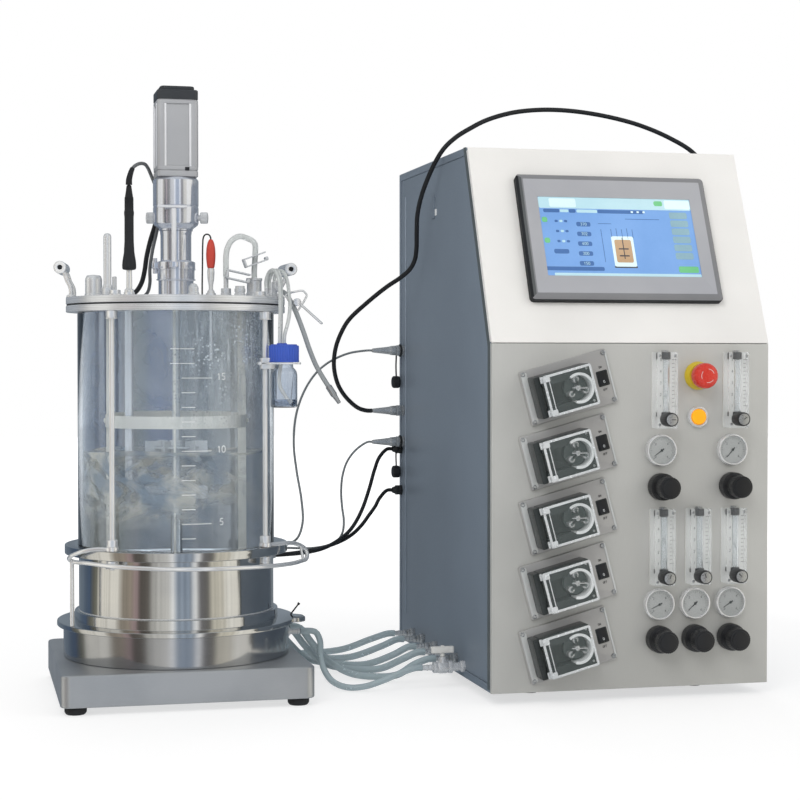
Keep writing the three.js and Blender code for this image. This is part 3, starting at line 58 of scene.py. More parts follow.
MM = 0.001
CREASE = np.radians(32)  # edges sharper than this stay crisp
STATION = "station"


def centre_of(node):
    """Middle of a frame node's box, in millimetres."""
    low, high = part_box(node)
    return (np.array(low) + np.array(high)) / 2 / MM


AXIS = centre_of("glass_cylinder")[:2]  # the vessel's upright axis
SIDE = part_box("upper_fascia")[0].x / MM  # the cabinet's left side
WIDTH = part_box("upper_fascia")[1].x / MM - SIDE
FACE = -245.0  # the lower fascia's outer face
BREAK = 499.0  # where the cabinet's front starts to lean back
TOP = 782.0  # the cabinet's height
BACK = 295.0  # the cabinet's back sheet
SLOPE = np.arctan2(124.0, 283.0)  # how far the upper fascia leans back: its run over its rise


# --- Places and surfaces --------------------


def place(origin, across=(1, 0, 0), up=(0, 1, 0)):
    """Axes of a place: across, up, and across x up, which is the way a piece grows from it."""
    made = np.eye(4)
    across, up = np.array(across, float), np.array(up, float)
    made[:3, :4] = np.stack([across, up, np.cross(across, up), np.array(origin, float)], 1)
    return made


def upright(x=0.0, y=0.0):
    """A place on the bench, relative to the vessel's axis."""
    return place((AXIS[0] + x, AXIS[1] + y, 0))


def facing_front(x, z, y=FACE):
    return place((x, y, z), (1, 0, 0), (0, 0, 1))


def facing_left(y, z, x=None):
    return place((SIDE if x is None else x, y, z), (0, -1, 0), (0, 0, 1))


def facing_right(y, z, x):
    return place((x, y, z), (0, 1, 0), (0, 0, 1))


def facing_back(x, z, y=BACK):
    return place((x, y, z), (-1, 0, 0), (0, 0, 1))


def on_slope(across, up):
    """A place on the sloping upper fascia, across from its left edge and up from the break."""
    run = np.array([0, np.sin(SLOPE), np.cos(SLOPE)])
    return place(np.array([SIDE + across, FACE, BREAK]) + up * run, (1, 0, 0), run)


def moved(at, across=0.0, up=0.0, out=0.0):
    """The same axes at a point shifted along them."""
    made = at.copy()
    made[:3, 3] = at[:3, :3] @ np.array([across, up, out], float) + at[:3, 3]
    return made


def spun(at, degrees):
    """The same place turned about its own growing axis."""
    c, s = np.cos(np.radians(degrees)), np.sin(np.radians(degrees))
    turn = np.eye(4)
    turn[:2, :2] = [[c, -s], [s, c]]
    return at @ turn


def along(start, end):
    """A place at start whose growing axis points to end."""
    run = np.array(end, float) - np.array(start, float)
    run /= np.linalg.norm(run)
    helper = (0, 0, 1) if abs(run[2]) < 0.9 else (1, 0, 0)
    across = np.cross(helper, run)
    across /= np.linalg.norm(across)
    return place(start, across, np.cross(run, across))


def softened(corners, cut, steps=4, closed=False):
    """Rounds corners: each becomes (1-t)^2 A + 2t(1-t) C + t^2 B, with A and B a cut away from corner C."""
    c = np.asarray(corners, float)
    before, after = np.roll(c, 1, 0), np.roll(c, -1, 0)
    cuts = np.broadcast_to(np.asarray(cut, float), len(c)).copy()
    if not closed:
        before[0], after[-1] = c[0], c[-1]
        cuts[[0, -1]] = 0

    def towards(other):
        run = other - c
        length = np.maximum(np.linalg.norm(run, axis=1, keepdims=True), 1e-9)
        return (c + run / length * np.minimum(cuts[:, None], 0.48 * length))[:, None]

    t = np.linspace(0, 1, steps)[None, :, None]
    rounded = (1 - t) ** 2 * towards(before) + 2 * t * (1 - t) * c[:, None] + t**2 * towards(after)
    return rounded.reshape(-1, c.shape[1])


def turned(outline, sides=64):
    """Surface of revolution: (r cos a, r sin a, h) for each [r, h] of the outline and each angle a."""
    outline = np.asarray(outline, float)
    a = np.linspace(0, 2 * np.pi, sides, endpoint=False)[None]
    r, h = outline[:, :1], outline[:, 1:2]
    return np.stack([r * np.cos(a), r * np.sin(a), h + 0 * a], -1)


def round_outline(radius, sides=48):
    """Circle and its outward normals: radius (cos a, sin a)."""
    a = np.linspace(0, 2 * np.pi, sides, endpoint=False)
    normals = np.stack([np.cos(a), np.sin(a)], 1)
    return radius * normals, normals


def box_outline(width, height, radius, steps=6, centre=(0, 0)):
    """Rounded rectangle and normals: corner centre + radius (cos a, sin a), a quarter turn a corner."""
    a = np.radians(np.arange(4)[:, None] * 90 + np.linspace(0, 90, steps)[None])
    normals = np.stack([np.cos(a), np.sin(a)], -1)
    signs = np.array([[1, 1], [-1, 1], [-1, -1], [1, -1]])[:, None]
    corner = signs * (np.array([width, height]) / 2 - radius)
    return (np.array(centre) + corner + radius * normals).reshape(-1, 2), normals.reshape(-1, 2)


def drawn_outline(corners, cut, steps=5):
    """Softened closed outline, anticlockwise, with normals that turn from edge to edge at each corner."""
    c = np.asarray(corners, float)
    edge = np.roll(c, -1, 0) - c
    normal = np.stack([edge[:, 1], -edge[:, 0]], 1) / np.linalg.norm(edge, axis=1, keepdims=True)
    t = np.linspace(0, 1, steps)[None, :, None]
    normals = (1 - t) * np.roll(normal, 1, 0)[:, None] + t * normal[:, None]
    return softened(c, cut, steps, closed=True), normals.reshape(-1, 2)


def raised(outline, steps):
    """Surface over an outline p with normals n: row k is p - inset_k n at height_k."""
    points, normals = outline
    steps = np.asarray(steps, float)
    flat = points[None] - steps[:, :1, None] * normals[None]
    height = np.broadcast_to(steps[:, 1, None, None], flat.shape[:2] + (1,))
    return np.concatenate([flat, height], -1)


def slab_steps(low, high, bevel, low_bevel=None):
    """Rows [inset, height] of a slab whose upper and lower edges are rounded over a quarter circle."""
    under = bevel if low_bevel is None else low_bevel
    a = np.radians(np.linspace(0, 90, 4))
    lower = np.stack([under * (1 - np.sin(a)), low + under * (1 - np.cos(a))], 1)
    upper = np.stack([bevel * (1 - np.cos(a)), high - bevel * (1 - np.sin(a))], 1)
    return np.concatenate([lower, upper])


def tube(path, radius, sides=16):
    """Tube round a path: path + r (side cos a + over sin a), both across the path's direction."""
    path = np.asarray(path, float)
    ahead = np.gradient(path, axis=0)
    ahead /= np.maximum(np.linalg.norm(ahead, axis=1, keepdims=True), 1e-9)
    helpers = np.array([[1, 0, 0], [0, 1, 0], [0, 0, 1], [0.6, 0.64, 0.48], [-0.6, 0.64, 0.48], [0.6, -0.64, 0.48]])
    clear = np.linalg.norm(np.cross(ahead[None], helpers[:, None]), axis=-1).min(1)
    side = np.cross(ahead, helpers[clear.argmax()])
    side /= np.linalg.norm(side, axis=1, keepdims=True)
    over = np.cross(ahead, side)
    a = np.linspace(0, 2 * np.pi, sides, endpoint=False)[None, :, None]
    r = np.broadcast_to(np.asarray(radius, float), len(path))[:, None, None]
    return path[:, None] + r * (side[:, None] * np.cos(a) + over[:, None] * np.sin(a))


def smooth_path(points, steps=8):
    """Centripetal Catmull-Rom curve: b + t u + t^2 (3(c-b) - 2u - v) + t^3 (2(b-c) + u + v) a span."""
    p = np.asarray(points, float)
    p = np.vstack([2 * p[0] - p[1], p, 2 * p[-1] - p[-2]])
    gap = np.linalg.norm(np.diff(p, axis=0), axis=1)[:, None] ** 0.5
    d0, d1, d2 = gap[:-2], gap[1:-1], gap[2:]
    a, b, c, e = p[:-3], p[1:-2], p[2:-1], p[3:]
    u = ((b - a) / d0 - (c - a) / (d0 + d1) + (c - b) / d1) * d1
    v = ((c - b) / d1 - (e - b) / (d1 + d2) + (e - c) / d2) * d1
    t = np.linspace(0, 1, steps, endpoint=False)[:, None, None]
    curve = b + t * u + t**2 * (3 * (c - b) - 2 * u - v) + t**3 * (2 * (b - c) + u + v)
    return np.vstack([curve.transpose(1, 0, 2).reshape(-1, 3), p[-2]])


def evened(path, spacing):
    """The same path with points at equal distances along it."""
    path = np.asarray(path, float)
    far = np.concatenate([[0], np.cumsum(np.linalg.norm(np.diff(path, axis=0), axis=1))])
    want = np.linspace(0, far[-1], max(3, int(far[-1] / spacing) + 1))
    return np.stack([np.interp(want, far, path[:, k]) for k in range(3)], 1)


class Shape:
    """Patches of one piece, in millimetres."""

    def __init__(self):
        self.points, self.faces, self.looks, self.count = [], [], [], 0

    def patch(self, rows, at=None, look=0, closed=False, ends=True):
        """Adds the surface rows[i, j] with quads (i, j), (i, j+1), (i+1, j+1), (i+1, j).

        Columns join up, and rows too when closed; otherwise flat ends close the first and last row."""
        rows = np.asarray(rows, float)
        m, n = rows.shape[:2]
        at = np.eye(4) if at is None else at
        i, j = np.meshgrid(np.arange(m if closed else m - 1), np.arange(n), indexing="ij")
        k, l = (i + 1) % m, (j + 1) % n
        quads = np.stack([i * n + j, i * n + l, k * n + l, k * n + j], -1).reshape(-1, 4) + self.count
        faces = quads.tolist()
        if ends and not closed:
            rims = [(0, np.arange(n)[::-1]), (m - 1, np.arange(n))]
            faces += [(order + row * n + self.count).tolist() for row, order in rims if np.ptp(rows[row], 0).max() > 1e-4]
        self.points.append(rows.reshape(-1, 3) @ at[:3, :3].T + at[:3, 3])
        self.faces += faces
        self.looks += np.broadcast_to(look, len(faces)).tolist()
        self.count += m * n
        return self

    def round(self, outline, at=None, look=0, sides=48, cut=0.6, closed=False):
        """A turned part with softened edges."""
        rows = turned(softened(outline, cut, 4, closed), sides)
        return self.patch(rows, at, look, closed=closed)

    def disc(self, radius, low, high, at=None, look=0, sides=48, cut=0.6, top=None):
        """A turned cylinder, or a cone that ends at another radius."""
        top = radius if top is None else top
        return self.round([[0, low], [radius, low], [top, high], [0, high]], at, look, sides, cut)

    def ring(self, inner, outer, low, high, at=None, look=0, sides=48, cut=0.6):
        return self.round([[inner, low], [outer, low], [outer, high], [inner, high]], at, look, sides, cut, closed=True)

    def nut(self, radius, low, high, bevel=0.6, at=None, look=0):
        return self.slab(hexagon(radius), low, high, bevel, at, look)

    def slab(self, outline, low, high, bevel=0.6, at=None, look=0, low_bevel=None):
        return self.patch(raised(outline, slab_steps(low, high, bevel, low_bevel)), at, look)

    def block(self, size, low, high, bevel=0.6, at=None, look=0, radius=None):
        corner = max(bevel * 1.01, 0.05) if radius is None else radius
        return self.slab(box_outline(size[0], size[1], corner, 5), low, high, bevel, at, look)

    def bar(self, start, end, radius, sides=20):
        """A round bar from point to point, its ends softened."""
        length = float(np.linalg.norm(np.array(end, float) - np.array(start, float)))
        return self.disc(radius, 0, length, along(start, end), sides=sides, cut=0.4)

    def wire(self, path, radius, look=0, sides=14, at=None):
        return self.patch(tube(path, radius, sides), at, look)

    def piece(self, name, finishes):
        """Makes the object: joined points, outward faces, soft shading with sharp creases, finishes."""
        mesh = bpy.data.meshes.new(name)
        mesh.from_pydata((np.concatenate(self.points) * MM).tolist(), [], self.faces)
        for key in [finishes] if isinstance(finishes, str) else finishes:
            mesh.materials.append(LOOKS[key])
        mesh.polygons.foreach_set("material_index", np.array(self.looks, np.int32))
        work = bmesh.new()
        work.from_mesh(mesh)
        bmesh.ops.remove_doubles(work, verts=work.verts, dist=2e-7)
        bmesh.ops.dissolve_degenerate(work, dist=1e-7, edges=work.edges)
        bmesh.ops.recalc_face_normals(work, faces=work.faces)
        work.to_mesh(mesh)
        work.free()
        mesh.shade_smooth()
        mesh.set_sharp_from_angle(angle=CREASE)
        piece = bpy.data.objects.new(name, mesh)
        bpy.context.scene.collection.objects.link(piece)
        return piece

    def make(self, name, finishes, nodes="", slot=None, moves=False):
        """Makes the object, gives it to its body, and names the nodes and the finish it stands for."""
        piece = self.piece(name, finishes)
        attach(piece, f"{nodes}_body" if moves else STATION)
        if finishes in SEE_THROUGH:
            piece.visible_shadow = piece.visible_diffuse = False
        for node in nodes.split():
            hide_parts(node)
        return piece


# --- Finishes --------------------

LOOKS = {}  # every finish by its key
SEE_THROUGH = ("vessel_glass", "bottle_glass", "clear_sheet", "cover_sheet", "meter_tube", "condensation",
               "stirred_water", "bottle_fluid")


def colour(text):
    """Linear red, green, blue and 1 from a written colour such as #7f8a95."""
    value = np.array([int(text[k : k + 2], 16) for k in (1, 3, 5)]) / 255
    shown = np.where(value <= 0.04045, value / 12.92, ((value + 0.055) / 1.055) ** 2.4)
    return (*shown.tolist(), 1.0)


def node(tree, kind, sockets=(), **settings):
    """Adds a node; sockets are values or links by input name or number."""
    made = tree.nodes.new("ShaderNode" + kind)
    for key, value in settings.items():
        setattr(made, key, value)
    for key, value in dict(sockets).items():
        if isinstance(value, bpy.types.NodeSocket):
            tree.links.new(value, made.inputs[key])
        else:
            made.inputs[key].default_value = value
    return made


def mixed(tree, share, first, second):
    """Colour between two by a share socket or number."""
    made = node(tree, "Mix", {0: share, 6: first, 7: second}, data_type="RGBA")
    return made.outputs[2]


def ranged(tree, value, low, high, start=0.0, end=1.0):
    """Value from start..end spread over low..high."""
    made = node(tree, "MapRange", {0: value, 1: start, 2: end, 3: low, 4: high})
    return made.outputs[0]


def lathe_vector(tree, spread=(1, 1, 1)):
    """Distance from the vessel's axis and height, so that fine marks run round turned parts."""
    spot = node(tree, "TexCoord").outputs["Object"]
    off = node(tree, "VectorMath", {0: spot, 1: (AXIS[0] * MM, AXIS[1] * MM, 0)}, operation="SUBTRACT").outputs[0]
    flat = node(tree, "VectorMath", {0: off, 1: (1, 1, 0)}, operation="MULTIPLY").outputs[0]
    reach = node(tree, "VectorMath", {0: flat}, operation="LENGTH").outputs["Value"]
    height = node(tree, "SeparateXYZ", {0: spot}).outputs[2]
    made = node(tree, "CombineXYZ", {0: reach, 1: 0.0, 2: height}).outputs[0]
    return node(tree, "Mapping", {"Vector": made, "Scale": spread}).outputs[0]


def finish(name, shown, tint, grain, rough, bump, stretch=(1, 1, 1), patches=9, metal=0.0, depth=0.0001,
           clear=0.0, ior=1.45, coat=0.0, alpha=None, lathe=False, spread=(0.35, 0.65)):
    """A procedural finish.

    Broad noise mixes the colour with its tint; fine noise, stretched along the grain, moves the
    roughness and raises the bump."""
    material = LOOKS[name] = bpy.data.materials.new(name.replace("_", " "))
    material.use_nodes = True
    tree = material.node_tree
    shader = tree.nodes["Principled BSDF"]
    spot = node(tree, "TexCoord").outputs["Object"]
    grain_spot = lathe_vector(tree, stretch) if lathe else node(tree, "Mapping",
                                                                {"Vector": spot, "Scale": stretch}).outputs[0]
    fine = node(tree, "TexNoise", {"Vector": grain_spot, "Scale": float(grain), "Detail": 4.0}).outputs["Fac"]
    broad = node(tree, "TexNoise", {"Vector": spot, "Scale": float(patches), "Detail": 3.0}).outputs["Fac"]
    both = node(tree, "Math", {0: broad, 1: ranged(tree, fine, -0.08, 0.08)}, operation="ADD").outputs[0]
    share = ranged(tree, both, 0.0, 1.0, *spread)
    tree.links.new(mixed(tree, share, colour(shown), colour(tint)), shader.inputs["Base Color"])
    tree.links.new(ranged(tree, fine, rough[0], rough[1], 0.3, 0.7), shader.inputs["Roughness"])
    ridge = node(tree, "Bump", {"Strength": bump, "Distance": depth, "Height": fine}).outputs[0]
    tree.links.new(ridge, shader.inputs["Normal"])
    for socket, value in (("Metallic", metal), ("IOR", ior), ("Transmission Weight", clear), ("Coat Weight", coat)):
        shader.inputs[socket].default_value = value
    if alpha is not None:
        tree.links.new(ranged(tree, broad, *alpha), shader.inputs["Alpha"])
    return material


def glow(name, shown, tint, strength, grain=300):
    """A lit display colour: it shines faintly by itself over a dark pane, with a fine grain."""
    material = finish(name, shown, tint, grain, (0.12, 0.2), 0.01)
    shader = material.node_tree.nodes["Principled BSDF"]
    source = shader.inputs["Base Color"].links[0].from_socket
    material.node_tree.links.new(source, shader.inputs["Emission Color"])
    shader.inputs["Emission Strength"].default_value = strength
    return material


# Each finish: its colour and tint, how fine its grain is, the span of its roughness, its bump, and what else it has.
FINISHES = {
    "mirror_steel": ("#d6d6d4", "#c6c7c8", 260, (0.07, 0.12), 0.02, dict(lathe=True, stretch=(1, 1, 4), metal=1.0)),
    "turned_steel": ("#e6e8ea", "#d8dadd", 420, (0.2, 0.32), 0.05, dict(lathe=True, stretch=(4, 1, 4), metal=0.5)),
    "barrel_steel": ("#eef1f9", "#e0e4ee", 260, (0.09, 0.15), 0.02, dict(lathe=True, stretch=(1, 1, 4), metal=0.78)),
    "drum_steel": ("#bfc0c2", "#b0b2b5", 260, (0.12, 0.2), 0.02, dict(lathe=True, stretch=(1, 1, 4), metal=1.0)),
    "bright_wire": ("#fbfbfb", "#eff0f1", 500, (0.14, 0.22), 0.03, dict(metal=0.66)),
    "satin_plate": ("#c4c6c8", "#b6b9bc", 160, (0.34, 0.44), 0.05, dict(stretch=(1, 12, 12), metal=0.75)),
    # Painted sheen: the cage's steel drawn near-white and almost matt, for the bright reflections it shows through the
    # glass.
    "satin_cage": ("#f4f2ea", "#e4e3dc", 200, (0.3, 0.42), 0.05, dict(stretch=(6, 6, 1), metal=0.12)),
    # Painted sheen: the shaft's steel drawn near-white with little metal, for its bright highlights through the glass.
    "bright_shaft": ("#eceef0", "#d6dadd", 420, (0.2, 0.3), 0.05, dict(lathe=True, stretch=(4, 1, 4), metal=0.35)),
    "motor_column": ("#f2f3f5", "#e8e9ec", 300, (0.3, 0.36), 0.01, dict(metal=0.2)),
    "cover_sheet": ("#aab5b3", "#97a3a1", 80, (0.04, 0.09), 0.015, dict(ior=1.46, alpha=(0.05, 0.11))),
    "meter_tube": ("#e9ebea", "#dcdfdf", 80, (0.05, 0.1), 0.02, dict(ior=1.46, alpha=(0.2, 0.3))),
    "motor_paint": ("#b9babc", "#b0b1b4", 700, (0.32, 0.4), 0.02, dict(metal=0.2)),
    "motor_cap": ("#3c3f43", "#303236", 800, (0.36, 0.46), 0.08),
    "vessel_glass": ("#c3ccd6", "#b5c0cc", 60, (0.015, 0.04), 0.012, dict(clear=1.0, ior=1.47, depth=0.0004)),
    "bottle_glass": ("#dfe4ea", "#cfd6df", 90, (0.02, 0.05), 0.02, dict(clear=1.0, ior=1.47)),
    "clear_sheet": ("#e6eaec", "#dce1e4", 80, (0.04, 0.09), 0.015, dict(clear=0.9, ior=1.46)),
    "black_rubber": ("#242629", "#1a1b1e", 900, (0.48, 0.62), 0.12),
    "black_plastic": ("#26272a", "#1d1e20", 900, (0.3, 0.42), 0.06),
    "black_head": ("#343a3a", "#272c2c", 600, (0.25, 0.36), 0.05, dict(coat=0.2)),
    "panel_painted_shade": ("#5d6061", "#525556", 900, (0.36, 0.46), 0.05),
    "plate_ridge_highlight": ("#d4d6d5", "#c8cbca", 300, (0.3, 0.4), 0.03, dict(metal=0.1)),
    "water_hose": ("#bccbd0", "#aebec4", 120, (0.2, 0.28), 0.02, dict(clear=0.3, ior=1.41)),
    "rotor_disc": ("#5c6664", "#4e5856", 500, (0.3, 0.4), 0.04),
    "panel_rim": ("#8b8b8d", "#808184", 900, (0.34, 0.44), 0.05),
    "panel_face": ("#b4b5b9", "#acadb2", 900, (0.32, 0.42), 0.04),
    "white_print": ("#eef0f0", "#dfe3e4", 500, (0.4, 0.5), 0.03),
    "black_print": ("#2b2c2e", "#232426", 500, (0.4, 0.5), 0.03),
    "slate_paint": ("#7f8b98", "#72808e", 900, (0.34, 0.44), 0.07, dict(patches=4, metal=0.1)),
    "slate_shade_strip": ("#5d6464", "#535a5a", 900, (0.3, 0.4), 0.04, dict(patches=4, metal=0.1)),
    "slate_highlight_bead": ("#9aa5b1", "#8d99a6", 900, (0.28, 0.38), 0.04, dict(patches=4, metal=0.1)),
    "slate_border": ("#5d6b79", "#52606d", 900, (0.36, 0.46), 0.07, dict(patches=4, metal=0.1)),
    "white_enamel": ("#efede8", "#e6e4de", 700, (0.26, 0.34), 0.04, dict(patches=4)),
    "fascia_satin": ("#bdbcb9", "#b0afad", 120, (0.4, 0.5), 0.05, dict(stretch=(14, 14, 1), patches=5, metal=0.2)),
    "pump_plate": ("#bcbbb9", "#adacab", 180, (0.34, 0.46), 0.05, dict(stretch=(1, 10, 10), metal=0.3)),
    "roller_steel": ("#dcdddd", "#c9cacb", 700, (0.2, 0.32), 0.06, dict(metal=0.6)),
    "red_grip": ("#cf4a3c", "#be3d31", 400, (0.3, 0.4), 0.06),
    "stop_red": ("#dd3b2c", "#cc3528", 400, (0.22, 0.32), 0.03, dict(coat=0.3)),
    "stop_yellow": ("#dfc42f", "#d3b72a", 400, (0.3, 0.4), 0.03),
    "blue_cap": ("#3f5fc2", "#3452b2", 500, (0.3, 0.4), 0.05),
    "white_plastic": ("#e9e9e6", "#dededa", 500, (0.3, 0.42), 0.05),
    "silicone": ("#e4e7e6", "#d6dad9", 300, (0.26, 0.36), 0.05, dict(clear=0.35, ior=1.41)),
    "grey_tube": ("#9fa4a6", "#8f9496", 500, (0.3, 0.42), 0.06),
    "lead_grey": ("#77797b", "#5f6163", 600, (0.3, 0.4), 0.05),
    "clamp_plastic": ("#e6e8ea", "#d6d9dc", 300, (0.2, 0.3), 0.03, dict(clear=0.2, ior=1.46)),
    "sheath": ("#8d9396", "#7d8386", 600, (0.36, 0.46), 0.08),
    "connector": ("#c4c6c8", "#b0b3b5", 500, (0.24, 0.34), 0.05, dict(metal=0.85)),
    "cover_edge": ("#f2f4f5", "#e4e8ea", 200, (0.2, 0.3), 0.03, dict(clear=0.3, ior=1.46)),
    "gauge_face": ("#b6b7b6", "#abacab", 500, (0.4, 0.5), 0.02),
    "bottle_fluid": ("#b7bec9", "#a8b1be", 60, (0.03, 0.08), 0.05, dict(clear=1.0, ior=1.33)),
    "vent_dark": ("#23262a", "#1a1c20", 500, (0.6, 0.75), 0.08),
}
# Each lit colour of the screen: its colour, its tint and how strongly it shines.
LIGHTS = {
    "screen_blue": ("#7ba3d8", "#7099d0", 0.3),
    "screen_bar": ("#5277ae", "#486da4", 0.15),
    "screen_field": ("#b6d4dc", "#aaccd6", 0.35),
    "screen_line": ("#5b5a5e", "#4e4d52", 0.05),
    "screen_green": ("#79c48a", "#6cb87f", 0.25),
    "screen_white": ("#d3e6e8", "#c6dce0", 0.4),
    "screen_tan": ("#c3a483", "#b59573", 0.2),
    "screen_list": ("#8fb0ba", "#7f9faf", 0.25),
}


def product(tree, *values):
    """Values multiplied together."""
    total = values[0]
    for value in values[1:]:
        total = node(tree, "Math", {0: total, 1: value}, operation="MULTIPLY").outputs[0]
    return total


def ramp(tree, value, stops):
    """Colour read from a table of (share, colour)."""
    made = node(tree, "ValToRGB", {0: value})
    table = made.color_ramp.elements
    for at, shown in stops[1:-1]:
        table.new(at).color = colour(shown)
    for element, (at, shown) in ((table[0], stops[0]), (table[-1], stops[-1])):
        element.position, element.color = at, colour(shown)
    return made.outputs[0]


def vessel_places(tree):
    """Sockets on the vessel: the spot, how far across and behind the axis it lies, and its height."""
    spot = node(tree, "TexCoord").outputs["Object"]
    off = node(tree, "VectorMath", {0: spot, 1: (AXIS[0] * MM, AXIS[1] * MM, 0)}, operation="SUBTRACT").outputs[0]
    across = node(tree, "VectorMath", {0: off, 1: (0.972, -0.235, 0)}, operation="DOT_PRODUCT").outputs["Value"]
    behind = node(tree, "VectorMath", {0: off, 1: (0.235, 0.972, 0)}, operation="DOT_PRODUCT").outputs["Value"]
    return spot, across, behind, node(tree, "SeparateXYZ", {0: spot}).outputs[2]


# Painted reflection: tones that the haze on the far half of the glass takes from left to right, over the culture and
# beside it, standing in for the room reflected in the glass.
PAINTED_REFLECTION_ABOVE = [(0, "#6a84ab"), (0.12, "#6d86ac"), (0.17, "#b6b2b2"), (0.2, "#909892"), (0.26, "#849096"), (0.3, "#6c82ab"),
              (0.36, "#657fb4"), (0.44, "#6b80a8"), (0.48,
                                                     "#8a9399"), (0.62, "#8693a0"), (0.73, "#9fa7ab"), (0.78, "#bcbfbf"),
              (0.83, "#b0b1b2"), (0.87, "#8e8d90"), (0.94, "#76808f"), (1, "#5f6f88")]
PAINTED_REFLECTION_BELOW = [(0, "#8b9083"), (0.1, "#a3a69c"), (0.14, "#8b9083"), (0.2, "#7f858a"), (0.27, "#566f8c"), (0.4, "#526b88"),
              (0.6, "#5d6f88"), (0.76, "#75828f"), (0.8, "#9da19f"), (0.84, "#6f7c8c"), (0.92, "#6d788a"), (1, "#848d90")]


def condensation(name):
    """Moisture inside the glass: toned haze on the far half, and beads that thicken up and to the right."""
    material = finish(name, "#8493a5", "#98a3ae", 900, (0.25, 0.6), 0.1, patches=11, depth=0.0006, spread=(0.4, 0.62))
    tree = material.node_tree
    shader = tree.nodes["Principled BSDF"]
    spot, across, behind, height = vessel_places(tree)
    share = ranged(tree, across, 0.0, 1.0, -0.134, 0.134)
    runs = node(tree, "Mapping", {"Vector": spot, "Scale": (1, 1, 0.12)}).outputs[0]
    streaks = node(tree, "TexNoise", {"Vector": runs, "Scale": 120.0, "Detail": 4.0}).outputs["Fac"]
    cloud = node(tree, "TexNoise", {"Vector": spot, "Scale": 16.0, "Detail": 5.0, "Distortion": 1.2}).outputs["Fac"]
    # The haze's colour is painted reflection, read across the axis from one table over the culture and another beside
    # it.
    painted_reflections = mixed(tree, ranged(tree, height, 0.0, 1.0, 0.336, 0.344), ramp(tree, share, PAINTED_REFLECTION_BELOW),
                  ramp(tree, share, PAINTED_REFLECTION_ABOVE))
    beads = node(tree, "TexVoronoi", {"Vector": spot, "Scale": 200.0}).outputs["Distance"]
    wet = product(tree, ranged(tree, across, 0.0, 1.0, -0.02, 0.06), ranged(tree, height, 0.0, 1.0, 0.37, 0.47))
    patchy = ranged(tree, cloud, 0.0, 1.0, 0.44, 0.56)
    drops = product(tree, ranged(tree, beads, 1.0, 0.0, 0.2, 0.42), wet, patchy)
    trails = product(tree, ranged(tree, streaks, 0.0, 0.6, 0.5, 0.62), wet)
    drops = node(tree, "Math", {0: drops, 1: trails}, operation="MAXIMUM").outputs[0]
    tree.links.new(mixed(tree, drops, painted_reflections, colour("#e3e9ec")), shader.inputs["Base Color"])
    far = ranged(tree, behind, 0.03, 0.52, -0.02, 0.03)
    haze = product(tree, far, ranged(tree, cloud, 0.85, 1.1, 0.3, 0.7))
    total = node(tree, "Math", {0: haze, 1: ranged(tree, drops, 0.0, 0.8)}, operation="ADD").outputs[0]
    tree.links.new(total, shader.inputs["Alpha"])
    return material


def stirred_water(name):
    """The stirred culture: a swirling cream-grey cloud over clearer water."""
    material = finish(name, "#d6d2c5", "#8794a0", 300, (0.15, 0.35), 0.15, patches=20, depth=0.0008, spread=(0.4, 0.58))
    tree = material.node_tree
    shader = tree.nodes["Principled BSDF"]
    spot, across, _, height = vessel_places(tree)
    turns = node(tree, "Mapping", {"Vector": spot, "Scale": (1, 1, 1.6)}).outputs[0]
    cloud = node(tree, "TexNoise", {"Vector": turns, "Scale": 17.0, "Detail": 7.0, "Distortion": 1.8}).outputs["Fac"]
    deep = ranged(tree, height, 0.1, 1.0, 0.24, 0.29)
    middle = ranged(tree, across, 1.0, 0.4, 0.01, 0.1)
    swirl = ranged(tree, cloud, 0.12, 0.96, 0.41, 0.56)
    rim = ranged(tree, height, 0.0, 0.7, 0.341, 0.346)
    veil = node(tree, "Math", {0: product(tree, deep, middle, swirl), 1: rim}, operation="MAXIMUM").outputs[0]
    tree.links.new(veil, shader.inputs["Alpha"])
    return material


# Colours that a user may change: a label, what it is for, its start value and the finish that takes it.
CHOICES = {
    "side_colour": ("Cabinet sides", "Paint of the cabinet's case", "#7f8b98", "slate_paint"),
    "slope_colour": ("Upper fascia", "Enamel of the sloping fascia", "#f7f5f1", "white_enamel"),
    "front_colour": ("Lower fascia", "Finish of the upright fascia", "#c8c8c4", "fascia_satin"),
    "cap_colour": ("Bottle cap", "Plastic of the sample bottle's cap", "#3f5fc2", "blue_cap"),
    "glass_colour": ("Vessel glass", "Tint of the glass cylinder", "#dfe6ec", "vessel_glass"),
}


def make_finishes(chosen):
    """Every finish, with the user's own colours where there is one."""
    for name, (shown, tint, grain, rough, bump, *more) in FINISHES.items():
        finish(name, shown, tint, grain, rough, bump, **dict(*more))
    for name, recipe in LIGHTS.items():
        glow(name, *recipe)
    for choice, (_, _, _, name) in CHOICES.items():
        mix = next(n for n in LOOKS[name].node_tree.nodes if n.bl_idname == "ShaderNodeMix")
        shown = getattr(chosen, choice)
        mix.inputs[6].default_value = (*shown, 1.0)
        mix.inputs[7].default_value = tuple(0.9 * v for v in shown) + (1.0,)
    glow("amber_lens", "#ffb91e", "#ff9f1c", 0.3, grain=120)
    condensation("condensation")
    stirred_water("stirred_water")


# --- Camera, cables and hoses --------------------

# Routes are written from the bench's middle, which lies this far left of the frame's origin.
ROUTE_SHIFT = -10.0
